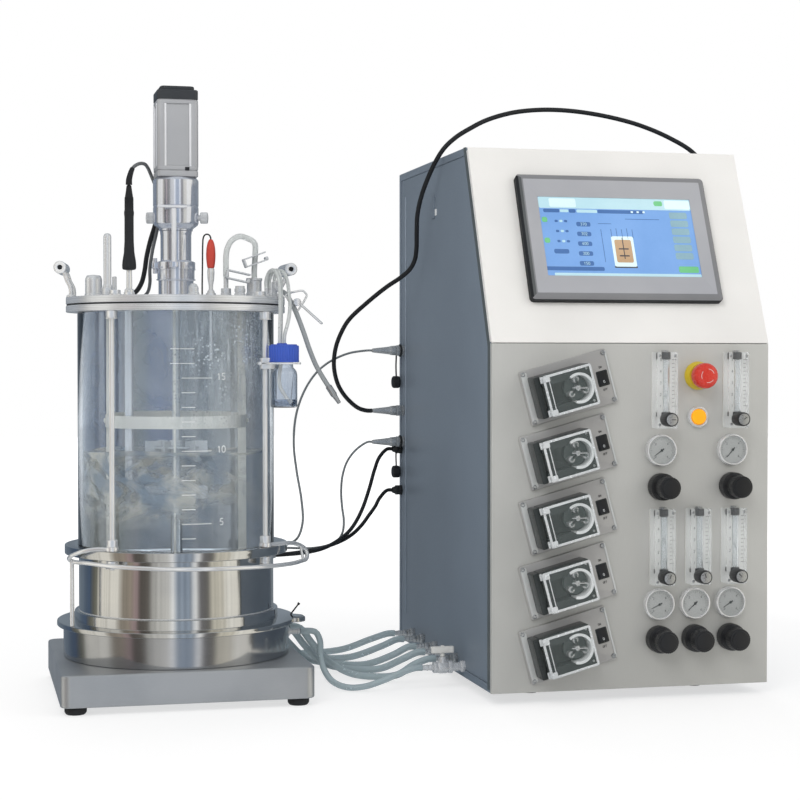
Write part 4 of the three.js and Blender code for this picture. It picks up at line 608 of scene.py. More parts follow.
# Each route: the cord's radius, its finish, how stiff it is, and the points it runs through.
ROUTES = {
    "overhead_cable": (3.5, "black_rubber", "medium", [
        [33.2, 270, 393.5], [25, 270, 393.6], [10, 268, 398], [-8, 264, 412], [-22, 258, 429], [-31, 250, 447],
        [-36, 242, 470], [-35, 232, 496], [-29, 222, 518], [-18, 212, 540], [8, 190, 568], [34, 166, 592],
        [52, 148, 606], [64, 134, 619], [69, 124, 633], [69, 114, 648], [66, 100, 674], [63, 84, 699], [64, 62, 727],
        [68, 38, 752], [74, 14, 775], [84, 0, 794], [103, 1, 811], [126, 5, 825], [149, 12, 837], [179, 22, 848],
        [211, 32, 856], [259, 45, 862], [313, 55, 862], [372, 60, 855], [419, 60, 844], [464, 55, 826],
        [500, 48, 804], [525, 52, 778], [541, 66, 746], [549, 90, 710], [551, 124, 675], [547, 156, 651],
        [538, 173, 641], [526, 180, 640], [515.8, 180, 640]]),
    "jacket_sensor_cable": (1.8, "sheath", "limp", [
        [33.2, 270, 492], [26, 270, 492], [-4, 264, 488], [-28, 255, 480], [-48, 244, 470], [-68, 230, 455],
        [-91, 205, 428], [-110, 175, 391], [-120, 142, 347], [-121, 112, 306], [-119, 82, 263], [-120, 68, 230],
        [-127, 72, 207], [-140, 86, 196], [-158, 99, 188], [-178, 101.6, 185], [-191, 90.7, 185],
        [-197.3, 85.3, 185]]),
    "level_sensor_cable": (1.8, "sheath", "limp", [
        [33.2, 270, 342.5], [26, 270, 342.3], [6, 267, 330], [-10, 260, 312], [-20, 250, 290], [-25, 238, 266],
        [-27, 222, 242], [-28, 203, 220], [-36, 178, 202], [-56, 148, 190], [-90, 132, 185], [-135, 134, 186],
        [-178, 144, 188], [-212, 146, 187], [-230, 127, 185.3], [-235.3, 118.3, 185]]),
    "heater_cable_1": (3, "black_rubber", "medium", [
        [70.2, 283, 330], [62, 283, 329.7], [47, 275, 317], [35, 259, 297], [20, 232, 268], [0, 198, 236],
        [-25, 160, 211], [-55, 118, 197], [-88, 78, 189], [-122, 50, 186.5], [-156, 35.4, 186], [-167.9, 31.5, 186]]),
    "heater_cable_2": (3, "black_rubber", "medium", [
        [70.2, 283, 262], [62, 283, 261.8], [47, 273, 250], [36, 257, 238], [20, 232, 226], [0, 200, 212],
        [-25, 164, 200], [-55, 130, 192], [-92, 102, 186], [-130, 79, 183.5], [-166, 60.8, 183],
        [-177.5, 54.9, 183]]),
    "ph_cable": (2.5, "lead_grey", "limp", [
        [-392.4, -74, 720.8], [-392.2, -74, 728], [-387, -68, 744], [-378, -54, 752], [-367, -32, 755],
        [-360, -12, 752], [-354, 4, 744], [-347, 12, 729], [-341, 15, 707], [-340, 16, 686], [-344, 17, 663],
        [-350, 19, 636], [-353, 28, 610], [-351, 48, 590], [-352, 68, 577], [-357, 88, 571], [-366, 106, 570.3],
        [-377, 122, 570.6], [-387, 137, 567], [-393, 148, 551], [-395, 153, 520], [-395, 155, 470],
        [-395, 159, 390], [-394, 166, 300], [-391, 176, 210], [-385, 189, 130], [-378, 200, 80], [-377, 202, 58],
        [-377, 196, 40], [-377, 182, 33.2], [-377, 171.3, 33]]),
    "motor_cable": (3.5, "black_rubber", "medium", [
        [-320.5, 22.8, 759.3], [-320.6, 31, 759.2], [-323, 42, 754], [-328, 46, 738], [-332, 42, 721],
        [-336, 35, 705], [-341, 31, 688], [-346, 29, 670], [-352, 31, 650], [-357, 35, 627], [-359, 45, 607],
        [-362, 60, 590], [-369, 78, 577], [-379, 96, 571.5], [-391, 112, 570.5], [-402, 127, 568],
        [-410, 139, 556], [-414, 147, 530], [-414, 151, 480], [-413, 157, 390], [-411, 165, 300],
        [-408, 176, 210], [-403, 189, 130], [-398, 203, 84], [-397, 206, 62], [-397, 200, 43], [-397, 184, 33.2],
        [-397, 171.3, 33]]),
    "vent_tube": (4, "silicone", "limp", [
        [-258, -86, 592.4], [-258, -86, 604], [-258, -86, 618], [-256, -85, 633], [-249, -82, 645],
        [-238, -78, 651], [-226, -73, 649], [-216, -78, 642], [-215, -78, 628], [-216, -78, 612],
        [-216.5, -78, 602], [-216.5, -78, 592.3]]),
    "bottle_tube": (2.5, "silicone", "limp", [
        [-184.5, -60, 588.4], [-184.5, -60.3, 594], [-181, -68, 602], [-176, -80, 602], [-172.5, -93, 591],
        [-171.5, -105, 572], [-172, -116, 550], [-176, -124, 530], [-181.5, -126.5, 511], [-182, -126.5, 504],
        [-182, -126.5, 498.3]]),
    "sampling_tube": (3.4, "grey_tube", "limp", [
        [-175.8, -73.3, 573.8], [-172.7, -78, 571.6], [-166, -87, 560], [-158, -95, 540], [-150, -103, 515],
        [-143, -108, 492], [-134, -113, 468], [-122, -118, 446], [-114, -121, 433]]),
    "drain_hose": (4.5, "water_hose", "medium", [
        [23.2, -103, 32], [13, -103, 32], [-8, -103, 26], [-34, -102, 16], [-60, -99, 8], [-84, -90, 6],
        [-102, -72, 12], [-111, -52, 27], [-112, -32, 46], [-110, -16, 64], [-115, -6, 75], [-127, -4.4, 77],
        [-137.6, -5.2, 77]]),
    # Pieces that the frame leaves to the looks.
    "water_hose_1": (5.2, "water_hose", "medium", [
        [53.5, 196, 38], [43, 196, 38], [15, 197, 30], [-30, 205, 14], [-90, 222, 7.4], [-160, 240, 7.4],
        [-225, 240, 18], [-262, 224, 42], [-277, 200, 64], [-283.5, 176, 76], [-285.4, 163, 77]]),
    "water_hose_2": (5.2, "water_hose", "medium", [
        [53.5, 133, 38], [43, 133, 38], [18, 134, 28], [-30, 150, 10], [-90, 175, 7.4], [-148, 196, 8],
        [-192, 204, 26], [-217, 194, 52], [-230, 176, 72], [-235.5, 160, 77], [-239.7, 147.8, 77]]),
    "water_hose_3": (5.2, "water_hose", "medium", [
        [53.5, 56, 38], [43, 56, 38], [18, 58, 26], [-20, 78, 10], [-66, 116, 7.4], [-100, 144, 12],
        [-126, 158, 36], [-146, 161, 62], [-166, 155, 76], [-184, 139, 77.3], [-192.5, 129.2, 77],
        [-199.6, 121, 77]]),
    "water_hose_4": (5.2, "water_hose", "medium", [
        [53.5, 1, 38], [43, 1, 38], [20, 4, 28], [-10, 22, 12], [-48, 58, 7.4], [-82, 90, 12], [-108, 108, 36],
        [-128, 112, 62], [-147, 104, 76], [-159, 91, 77], [-168, 85, 77]]),
    "water_hose_5": (5.2, "water_hose", "medium", [
        [53.5, -63, 38], [43, -63, 38], [22, -60, 30], [0, -48, 14], [-30, -18, 7.4], [-62, 12, 10],
        [-90, 36, 28], [-111, 48, 52], [-126, 49, 72], [-138, 45, 77], [-146.8, 41.9, 77]]),
    "bottle_tube_2": (2.5, "silicone", "limp", [
        [-202.5, -96, 577], [-202.5, -96.5, 588], [-199, -103, 600], [-194, -114, 602], [-190, -125, 590],
        [-188.7, -130.5, 566], [-188.7, -132, 540], [-189.3, -131.8, 512], [-189.5, -131.5, 498.3]]),
    "bottle_tube_3": (2.5, "silicone", "limp", [
        [-196.5, -88, 577], [-196.5, -88.5, 588], [-193, -97, 600], [-188, -108, 602], [-185.5, -117, 590],
        [-185, -121.5, 566], [-185.3, -122, 540], [-186, -120.5, 512], [-186.5, -119.5, 498.3]]),
    "foam_cable": (1.1, "black_rubber", "limp", [
        [-277.9, -75, 646.3], [-278.0, -75, 648.2], [-279.3, -75, 651.6], [-282.8, -75, 653.6], [-286.6, -75, 652.2],
        [-288.6, -75, 648], [-289.3, -75, 640], [-289.8, -75, 610], [-290.2, -75, 585], [-290.3, -75, 566]]),
}


def frame_camera():
    """Camera at the front, a little to the left and level with the middle of the glass."""
    lens = bpy.data.cameras.new("camera")
    lens.lens, lens.sensor_width = 82.8, 36.0
    lens.clip_end = 40.0
    camera = bpy.data.objects.new("camera", lens)
    camera.location = (-0.6402, -2.6677, 0.474)
    camera.rotation_euler = tuple(np.radians([88.8, 0.0, -13.6]))
    bpy.context.scene.collection.objects.link(camera)
    bpy.context.scene.camera = camera


def sampling_fitting():
    """The steel outlet at the sampling tube's free end."""
    end = np.array(ROUTES["sampling_tube"][-1][-2:], float) + [ROUTE_SHIFT, 0, 0]
    shape = Shape().round([[0, 8], [4.6, 8], [4.6, 23], [3.6, 25], [2.6, 37], [0, 37]], along(*end), cut=0.9, sides=32)
    return shape.make("sampling_fitting", "connector", slot="satin_steel")


def build_cords():
    """Cables, tubes and hoses: round tubes along smooth routes, each declared with its own length."""
    outlet = sampling_fitting()
    for name, (radius, look, stiffness, route) in ROUTES.items():
        path = evened(smooth_path(np.array(route, float) + [ROUTE_SHIFT, 0, 0], 10), max(2.0, radius))
        piece = Shape().wire(path, radius, sides=16).make(name, look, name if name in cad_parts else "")
        if name == "ph_cable":
            sleeve = Shape().wire(path[:11], np.linspace(4.6, 3.4, 11), sides=20)
            sleeve.make("ph_cable_sleeve", "black_rubber", slot="black_rubber")


# --- Vessel --------------------


def fluted_outline(radius, flutes, depth):
    """Circle whose radius drops by depth in each flute: r = radius - depth (1 + cos(flutes a)) / 2."""
    a = np.linspace(0, 2 * np.pi, flutes * 6, endpoint=False)
    normals = np.stack([np.cos(a), np.sin(a)], 1)
    return normals * (radius - depth * (1 + np.cos(flutes * a))[:, None] / 2), normals


def hexagon(radius):
    a = np.radians(np.arange(6) * 60)
    return drawn_outline(radius * np.stack([np.cos(a), np.sin(a)], 1), radius * 0.12, 3)


def polar(radius, degrees):
    a = np.radians(degrees)
    return radius * np.cos(a), radius * np.sin(a)


def build_base():
    """Foot plate: a rounded square slab, its edges turned over a quarter circle; rubber feet; cable glands."""
    plate = Shape().slab(box_outline(346, 346, 14, 14, (-2, 0)), 11, 55, 3.2, upright(), low_bevel=2)
    plate.slab(box_outline(334, 334, 10, 8, (-2, 0)), 10.2, 11.2, 0.3, upright())
    plate.make("base_plate_body", "satin_plate", "base_plate", "satin_steel")
    feet = Shape()
    for x, y in ((-154, -152), (150, -152), (150, 152), (-154, 152)):
        feet.round([[0, 0], [12.5, 0], [15, 3.5], [15, 9], [13, 11.4], [0, 11.4]], upright(x, y), cut=1.4)
    feet.make("base_feet", "black_rubber", "base_plate", "black_rubber")
    glands = Shape()
    for x in (-76.5, -56.5):
        at = facing_back(AXIS[0] + x, 33, AXIS[1] + 173)
        glands.nut(7.6, -0.5, 6, 0.6, at)
        glands.round([[0, 5.5], [6.6, 5.5], [6.4, 11], [5, 16], [0, 16]], at, cut=1)
    glands.make("base_glands", "black_plastic", "base_plate", "black_plastic")


def build_heater():
    """Heater drum: a low turned cylinder with softened rims, and the hose nipples round its right and back."""
    drum = Shape().disc(161, 55.3, 98.7, upright(), sides=160, cut=1.6)
    drum.ring(158, 160.2, 98.5, 99.0, upright(), sides=160, cut=0.1)
    drum.make("heater_drum_shell", "drum_steel", "heater_drum", "polished_steel")
    nipples = Shape()
    for i in range(6):
        a = 4 + 15 * i
        start = (*(np.array(polar(158, a)) + AXIS), 77)
        end = (*(np.array(polar(183, a)) + AXIS), 77)
        at = along(start, end)
        nipples.nut(8, 0, 8.5, 0.7, at)
        barbs = [[0, 8], [4.4, 8]] + [p for k in range(4) for p in ([4.6, 10 + 3.6 * k],
                                                                    [3.7, 13.2 + 3.6 * k])] + [[3.4, 25], [0, 25]]
        nipples.round(barbs, at, cut=0.25, sides=24)
    nipples.make("heater_nipples", "turned_steel", "heater_drum", "polished_steel")


def build_vessel_bottom():
    """Steel bottom: one outline turned about the axis, from the foot ring over skirt and flange to the dish."""
    dish = [[134 * np.cos(a), 150 - 22 * np.sin(a)] for a in np.radians(np.linspace(0, 88, 14))]
    outline = [[0, 99], [170, 99], [170, 106], [145, 106], [145, 120], [139, 120], [139, 201], [159, 201],
               [159, 213.5], [134, 213.5], *dish, [9.2, 128], [8.6, 131], [8.6, 262], [6.6, 262], [6.6, 238], [0, 238]]
    cuts = [0, 1.6, 1.6, 0.8, 1.4, 0.6, 0.6, 1.2, 1.2, 1.0] + [1.0] * 14 + [1, 1, 0.8, 0.5, 0.2, 0]
    shell = Shape().patch(turned(softened(outline, cuts, 4), 160), upright())
    lug = drawn_outline([(120, -53), (170, -53), (181, -42), (181, -18), (170, -7), (120, -7)], 5)
    shell.slab(lug, 99.05, 105.95, 1.2, upright())
    shell.make("vessel_bottom_shell", "mirror_steel", "vessel_bottom", "polished_steel")
    seams = Shape()
    for z in (120.6, 200.2):
        seams.ring(138.4, 139.5, z - 0.7, z + 0.7, upright(), sides=128, cut=0.3)
    seams.make("skirt_weld_seams", "turned_steel", "vessel_bottom", "polished_steel")
    glands = Shape()
    for a, z in ((18, 186), (27, 183), (40, 185), (58, 185)):
        at = along((*(np.array(polar(136, a)) + AXIS), z), (*(np.array(polar(160, a)) + AXIS), z))
        glands.nut(7, 0, 9, 0.6, at)
        glands.slab(fluted_outline(6.5, 16, 0.5), 9, 19, 0.8, at)
        glands.disc(4.8, 18.6, 24, at, top=4.2, cut=0.8, sides=24)
    glands.make("skirt_glands", "connector", "vessel_bottom", "satin_steel")
    pin = Shape().bar((AXIS[0] + 164, AXIS[1] - 14, 106), (AXIS[0] + 176, AXIS[1] - 14, 121), 1.1)
    pin.disc(1.9, -1.5, 1.5, along((AXIS[0] + 176, AXIS[1] - 14, 121), (AXIS[0] + 180, AXIS[1] - 14, 126)), cut=0.6)
    pin.make("lug_pin", "black_plastic", slot="black_plastic")


GLYPHS = {
    "0": [[(0.5, 1), (0.85, 0.92), (1, 0.7), (1, 0.3), (0.85, 0.08), (0.5, 0), (0.15, 0.08), (0, 0.3), (0, 0.7),
           (0.15, 0.92), (0.5, 1)]],
    "1": [[(0.2, 0.78), (0.55, 1), (0.55, 0)]],
    "2": [[(0, 0.75), (0.15, 0.95), (0.5, 1), (0.9, 0.9), (0.95, 0.65), (0.6, 0.38), (0, 0), (1, 0)]],
    "3": [[(0, 0.9), (0.4, 1), (0.85, 0.9), (0.9, 0.68), (0.45, 0.53), (0.95, 0.35), (0.85, 0.08), (0.4, 0), (0, 0.1)]],
    "4": [[(0.75, 0), (0.75, 1), (0, 0.3), (1, 0.3)]],
    "5": [[(0.95, 1), (0.15, 1), (0.08, 0.55), (0.55, 0.62), (0.95, 0.42), (0.9, 0.12), (0.45, 0), (0.02, 0.1)]],
    "6": [[(0.85, 0.95), (0.4, 0.9), (0.05, 0.5), (0.08, 0.12), (0.5, 0), (0.92, 0.12), (0.92, 0.42), (0.5, 0.56),
           (0.08, 0.4)]],
    "7": [[(0, 1), (1, 1), (0.4, 0)]],
    "O": [[(0.5, 1), (0.9, 0.85), (1, 0.5), (0.9, 0.15), (0.5, 0), (0.1, 0.15), (0, 0.5), (0.1, 0.85), (0.5, 1)]],
    "N": [[(0, 0), (0, 1), (1, 0), (1, 1)]],
    "F": [[(0.95, 1), (0, 1), (0, 0)], [(0, 0.52), (0.75, 0.52)]],
}


def written(shape, text, at, height, stroke, look=0, bend=None):
    """Plain figures as round strokes, centred on a place; bend is the radius of a cylinder they lie on."""
    width, gap = height * 0.55, height * 0.22
    start = -((width + gap) * len(text) - gap) / 2
    for k, letter in enumerate(text):
        for line in GLYPHS[letter]:
            flat = np.array(line, float) * [width, height] + [start + k * (width + gap), -height / 2]
            flat = evened(np.c_[flat, np.zeros(len(flat))], height / 6)
            if bend:
                turn = flat[:, 0] / bend
                flat = np.c_[bend * np.sin(turn), flat[:, 1], bend * (np.cos(turn) - 1)]
            shape.wire(flat, stroke, look, 6, at)


def on_cylinder(degrees, radius, z):
    """A place on the vessel's round wall."""
    a = np.radians(degrees)
    return place((AXIS[0] + radius * np.cos(a), AXIS[1] + radius * np.sin(a), z), (-np.sin(a), np.cos(a), 0), (0, 0, 1))


def build_glass():
    """Glass cylinder with softened rims, the moisture inside it, and its white litre marks."""
    tube_wall = Shape().ring(134, 140, 213.8, 543.5, upright(), sides=160, cut=1.2)
    tube_wall.make("glass_cylinder_wall", "vessel_glass", "glass_cylinder", "glass")
    film = Shape().ring(133.0, 133.7, 216, 541, upright(), sides=128, cut=0.1)
    film.make("glass_moisture_and_reflection", "condensation", slot="glass")
    marks = Shape()
    for k in range(15):
        z = 231.3 + 20 * k
        if z > 500:
            continue
        long = k % 5 == 1
        start, turn = (-100, 13.5) if z > 460 else (-93.7, 17 if long else 7.6)
        a = np.radians(np.linspace(start, start + turn, 12))
        path = np.stack([AXIS[0] + 140.25 * np.cos(a), AXIS[1] + 140.25 * np.sin(a), np.full(len(a), float(z))], 1)
        marks.wire(path, 0.55, sides=6)
        if long:
            written(marks, str(5 * (k // 5 + 1)), on_cylinder(start + 23, 140.3, z + 2), 9, 0.6, bend=140.3)
    marks.make("glass_litre_marks", "white_print", slot="white_paint")


def build_culture():
    """Stirred culture: a body of revolution whose surface dips to the shaft as (r / R)^2."""
    r = np.linspace(8, 132.2, 26)
    a = np.linspace(0, 2 * np.pi, 120, endpoint=False)[None]
    r = r[:, None]
    wave = 1.6 * np.sin(3 * a + r / 17) + 1.0 * np.sin(7 * a - r / 9)
    top = np.stack([r * np.cos(a), r * np.sin(a), 340 + 9 * (r / 132) ** 2 + wave * (r / 132)], -1)
    dish = [[0.0, 129.0]] + [[131 * np.sin(t), 151 - 21 * np.cos(t)] for t in np.radians(np.linspace(8, 90, 10))]
    wall = turned(np.array(dish + [[132.2, 214], [132.2, 330]]), 120)
    Shape().patch(np.concatenate([wall, top[::-1]]), upright()).make("culture", "stirred_water", slot="glass")


def build_upper_flange():
    """Upper flange: a turned ring; tie rods with nuts; the plate and clamp that hold the sample bottle."""
    ring = Shape().ring(131, 156, 543.8, 553, upright(), sides=160, cut=1.0)
    ring.make("upper_flange_ring", "turned_steel", "upper_flange", "polished_steel")
    rods = Shape()
    for k in range(4):
        x, y = polar(151.5, 48 + 90 * k)
        rods.round([[0, 188], [3, 188], [3.8, 189.5], [3.8, 544.2], [0, 544.2]], upright(x, y), sides=28, cut=0.4)
        for low in (190.7, 219.8, 533.5):
            rods.nut(8.2, low, low + 10, 0.8, upright(x, y))
            rods.ring(3.4, 8.9, low - 1.1, low + 0.1, upright(x, y), sides=32, cut=0.2)
    rods.make("tie_rods", "bright_wire", "upper_flange", "polished_steel")
    bracket = Shape()
    x, y = polar(151.5, -42)
    outline = box_outline(49, 43, 6, 6, (135, -108))
    bracket.slab(outline, 470, 472.7, 0.6, upright())
    for low, high in ((463.35, 470.9), (471.9, 479.35)):
        bracket.block((20, 15), low, high, 1.0, upright(x + 2.5, y - 2.5), radius=2)
    bracket.bar((AXIS[0] + x - 9, AXIS[1] + y - 11, 471.3), (AXIS[0] + x - 9, AXIS[1] + y + 7, 471.3), 2.4)
    bracket.make("bottle_bracket", "bright_wire", "upper_flange", "polished_steel")


def build_lid():
    """Lid and its gasket: turned rings, with ports as turned plugs, hexagon nuts and two bent bar handles."""
    Shape().ring(133, 155, 553.3, 554.8, upright(), sides=128,
                 cut=0.5).make("lid_gasket_ring", "black_rubber", "lid_gasket", "black_rubber")
    lid = Shape().ring(6.5, 156, 555.1, 565, upright(), sides=160, cut=1.3)
    lid.make("lid_disc", "turned_steel", "lid_plate", "polished_steel")
    ports = Shape()
    top = 564.6
    ports.round([[0, top], [12.6, top], [12.6, 568.5], [11.8, 569.5], [11.8, 590], [9.6, 595], [0, 596]],
                upright(-119.1, -27), cut=1.6)
    ports.nut(8.8, top, 576, 0.9, upright(-104.2, -82))
    ports.round([[0, 575], [6.6, 575], [6.6, 579], [5.4, 580], [5.4, 647], [3.6, 650.4], [0, 651]],
                upright(-104.2, -82), cut=1.4)
    ports.round([[0, top], [7.5, top], [7.5, 570], [3.4, 571], [3.4, 592], [0, 592]], upright(62.5, -68), cut=0.6)
    ports.nut(7.4, 570, 577, 0.7, upright(62.5, -68))
    ports.round([[0, top], [11.4, top], [11.4, 571], [10.4, 572], [10.4, 588], [11.4, 589], [11.4, 592], [0, 592]],
                upright(104, -60), cut=0.6)
    ports.round([[0, top], [8, top], [8, 569], [6.6, 570], [6.6, 580], [0, 580]], upright(80.2, -82), cut=0.8)
    ports.nut(8, 571, 576.5, 0.8, upright(80.2, -82))
    ports.round([[0, top], [8.2, top], [8.2, 570], [7, 571], [7, 578], [4, 583], [0, 584]], upright(16.8, -67), cut=1.4)
    ports.block((5.5, 14), top, 593, 1.2, upright(-91.3, -42), radius=2.4)
    ports.disc(9, top, 570, upright(-91.3, -42), cut=1)
    ports.round([[0, top], [7.5, top], [7.5, 570], [4.2, 571.5], [4.2, 588], [0, 588]], upright(136, -42), cut=0.7)
    start, end = np.array([136, -42, 580.0]), np.array([144.5, -55, 574.0])
    shift = np.array([*AXIS, 0])
    ports.bar(start + shift, end + shift, 3.3)
    for x, y in ((118, -78), (124, -70)):
        ports.round([[0, top], [4.6, top], [4.6, 569], [2.4, 570], [2.4, 578], [0, 578]], upright(x, y), cut=0.5, sides=24)
    ports.make("lid_ports", "turned_steel", "lid_plate", "polished_steel")
    screws = Shape()
    for k in range(4):
        x, y = polar(143.5, 48 + 90 * k)
        screws.disc(9.4, top, 566.2, upright(x, y), cut=0.3)
        screws.nut(8.2, 566.2, 572, 0.8, upright(x, y))
    screws.make("lid_nuts", "bright_wire", "lid_plate", "polished_steel")
    bars = Shape()
    for side, turn in ((1, 0), (-1, -8)):
        seat = spun(upright(), turn)
        for y in (-27, 27):
            leg = np.array([[147, y, 563], [147, y, 574], [148, y, 580], [153, y, 590], [156, y, 599],
                            [162, y, 607]]) * [side, 1, 1]
            bars.wire(evened(smooth_path(leg, 10), 2), 3, sides=20, at=seat)
            bars.round([[0, 564.6], [6.4, 564.6], [6.4, 567], [4, 568.6], [0, 568.6]], moved(seat, side * 147, y),
                       cut=0.8, sides=32)
        ends = [seat[:3, :3] @ np.array([side * 162, y, 607]) + seat[:3, 3] for y in (-34, 34)]
        bars.round([[3.4, 0], [8.4, 0], [9, 0.8], [9, 67.2], [8.4, 68], [3.4, 68]], along(*ends), sides=56, cut=0.5,
                   closed=True)
        bars.disc(3.6, 1.6, 66.4, along(*ends), look=1, sides=32, cut=0.3)
    bars.make("lid_handles", ["bright_wire", "vent_dark"], "lid_plate", "polished_steel")


GUARD_EYE_Z = 216.5


def build_guard():
    """Round wire guard: one smooth bent wire from tie rod to tie rod, an eye at each end, a leg and a link."""

    def arc(degrees, z):
        x, y = polar(171, degrees)
        return [x + 12, y, z]

    z = GUARD_EYE_Z
    route = [[-108, -112, z], [-122, -106, z], [-137, -98, 214], [-149, -86, 209], [-156, -75, 204], [-157, -67, 199.5],
             [-152, -66, 196.5], arc(212, 196), arc(226, 195), arc(242,
                                                                   194), arc(260, 193), arc(278, 192.5), arc(296, 191.5),
             arc(312, 190.5), arc(326, 189.5), arc(337, 189), [179, -56, 190.5], [182, -49, 196], [180, -48, 203],
             [173, -54, 209], [162, -64, 214], [149, -78, z], [135, -88, z], [119, -98, z]]
    shift = np.array([*AXIS, 0])
    wire = Shape().wire(evened(smooth_path(np.array(route, float) + shift, 12), 3), 3.0, sides=16)
    wire.bar(np.array([-153, -66, 106.3]) + shift, np.array([-153, -66, 199]) + shift, 3.0)
    wire.bar(np.array([174, -61.5, 189.5]) + shift, np.array([171, -56, 209.5]) + shift, 2)
    for a in (228, -42):
        x, y = polar(151.5, a)
        wire.ring(5, 9, 213.9, 219.2, upright(x, y), sides=32, cut=1.2)
    wire.make("guard_wire", "bright_wire", "wire_guard", "polished_steel")


def build_cage():
    """Baffle cage: two turned hoops and four flat baffles."""
    cage = Shape()
    for low, high in ((166, 176), (380, 397)):
        cage.ring(98.5, 101, low, high, upright(), sides=96, cut=0.6)
    for k in range(4):
        at = spun(upright(), -8 + 90 * k)
        cage.block((12, 3), 156, 554.6, 0.7, moved(at, across=94), radius=0.8)
        for z in (171, 388.5):
            bolt = moved(at, across=101)
            cage.bar(bolt[:3, 3] + [0, 0, z], (moved(at, across=103.4)[:3, 3] + [0, 0, z]), 3)
    # The cage's near-white finish is painted sheen.
    cage.make("baffle_cage_bars", "satin_cage", "baffle_cage", "satin_steel")


def build_agitator():
    """Shaft with two impellers: turned discs and hubs, six flat blades each."""
    shaft = Shape().disc(6, 240, 652, upright(), sides=40)
    for z in (292, 352):
        shaft.ring(6, 32, z - 1.25, z + 1.25, upright(), sides=72, cut=0.5)
        shaft.ring(5.5, 10, z - 10, z + 10, upright(), sides=40, cut=0.8)
        for k in range(6):
            shaft.block((23, 2), z - 9, z + 9, 0.4, moved(spun(upright(), 60 * k), across=33.5), radius=0.6)
    # The shaft's near-white finish is painted sheen.
    shaft.make("agitator_shaft", "bright_shaft", "agitator", "polished_steel", moves=True)


def build_drive():
    """Shaft seal, motor adapter and motor: turned steel rings, knurled screws, and a rounded square motor."""
    seal = Shape()
    outline = [[6.5, 565.3], [28, 565.3], [28, 568.5], [25, 569.5], [25, 589.5], [25.6, 590.5], [26.5, 592], [26.5, 605.4],
               [27.5, 606.2], [27.5, 616.4], [24.5, 617.6], [22,
                                                             618.4], [22, 655], [22.6, 658], [22.6, 660.7], [6.5, 660.7]]
    seal.round(outline, upright(), sides=96, cut=0.7, closed=True)
    for z in (591.2, 605.9):
        seal.ring(26.2, 28.0, z - 0.7, z + 0.7, upright(), sides=96, cut=0.3)
    seal.block((12, 19), 607.3, 615.6, 1.2, upright(-7, -33), radius=3)
    seal.block((30, 12), 607.3, 615.6, 1.2, upright(-20, 0), radius=4)
    pin = Shape().disc(3.5, 615, 691, upright(-7, -37), sides=32, cut=0.8)
    pin.slab(box_outline(42, 5, 2), 692, 695.4, 0.7, upright(-9, -33.5))
    pin.make("seal_pin", "motor_column", slot="polished_steel")
    seal.bar((AXIS[0] - 30, AXIS[1], 600), (AXIS[0] - 30, AXIS[1], 622), 3.2)
    seal.make("shaft_seal", "barrel_steel", "seal_housing", "polished_steel")
    adapter = Shape()
    body = [[0, 661], [24, 661], [24, 664], [31.4, 669.5], [32.5, 672], [32.5, 694.6], [31.7, 695.2], [31.7, 696.2],
            [32.5, 696.8], [32.5, 733.4], [29.5, 737], [0, 737]]
    adapter.patch(turned(softened(body, [0, 0.8, 2, 3, 1.4, 0.3, 0.3, 0.3, 0.3, 1, 1, 0], 4), 96), upright())
    adapter.make("adapter_barrel", "barrel_steel", "motor_adapter", "polished_steel")
    screws = Shape()
    for a in (166.4, -13.6):
        at = along((*(np.array(polar(30.5, a)) + AXIS), 680), (*(np.array(polar(47, a)) + AXIS), 680))
        short = 4.2 if a > 90 else 0.6
        screws.disc(4, 0, 6, at, sides=24)
        screws.slab(fluted_outline(8.2, 22, 0.7), 5.2 - short, 16 - short, 1.4, at)
        screws.disc(5, 15.6 - short, 16.4 - short, at, top=4.6, sides=32, cut=0.4)
    screws.make("adapter_screws", "turned_steel", "motor_adapter", "polished_steel")
    motor = Shape()
    motor.slab(box_outline(58.4, 58.4, 6, 8), 737.3, 745.3, 0.8, upright())
    motor.slab(box_outline(56, 56, 6, 8), 745.2, 746.4, 0.2, upright())
    motor.slab(box_outline(58.4, 58.4, 6, 8), 746.3, 752, 0.8, upright())
    motor.slab(box_outline(54.4, 54.4, 5, 6), 751, 841, 0.4, upright())
    motor.slab(box_outline(58.4, 58.4, 6, 8), 840.2, 845.5, 0.8, upright())
    for x, y in ((-1, -1), (1, -1), (1, 1), (-1, 1)):
        motor.slab(box_outline(13.6, 13.6, 5.4, 6, (22.4 * x, 22.4 * y)), 751.4, 840.8, 0.3, upright())
        motor.slab(box_outline(3.4, 3.4, 1, 3, (17.8 * x, 27.2 * y)), 751.4, 840.8, 0.3, upright(), look=2)
        motor.slab(box_outline(3.4, 6, 1, 3, (28.2 * x, 19 * y)), 751.4, 840.8, 0.3, upright(), look=2)
    motor.slab(box_outline(56, 56, 6, 8), 845.3, 846.8, 0.2, upright())
    motor.block((6.5, 5), 745.8, 750.6, 0.8, upright(13, -27.4), look=1, radius=1)
    motor.make("motor_body", ["motor_paint", "black_plastic", "motor_column"], "drive_motor", "motor_steel")
    cap = Shape().slab(box_outline(58.4, 58.4, 6, 8), 846.5, 860.5, 2.4, upright(), low_bevel=0.6)
    cap.slab(box_outline(49, 49, 7, 6), 859, 866, 2.2, upright())
    cap.disc(3.2, 865, 866.05, upright(-16, -16), sides=24, cut=0.3)
    gland = facing_back(AXIS[0], 759.3, AXIS[1] + 28.5)
    cap.nut(6.6, -0.5, 5, 0.6, gland)
    cap.round([[0, 4.5], [5.8, 4.5], [5.6, 8], [4.5, 12], [0, 12]], gland, cut=0.8, sides=32)
    cap.make("motor_cap", "motor_cap", "drive_motor", "dark_frame")


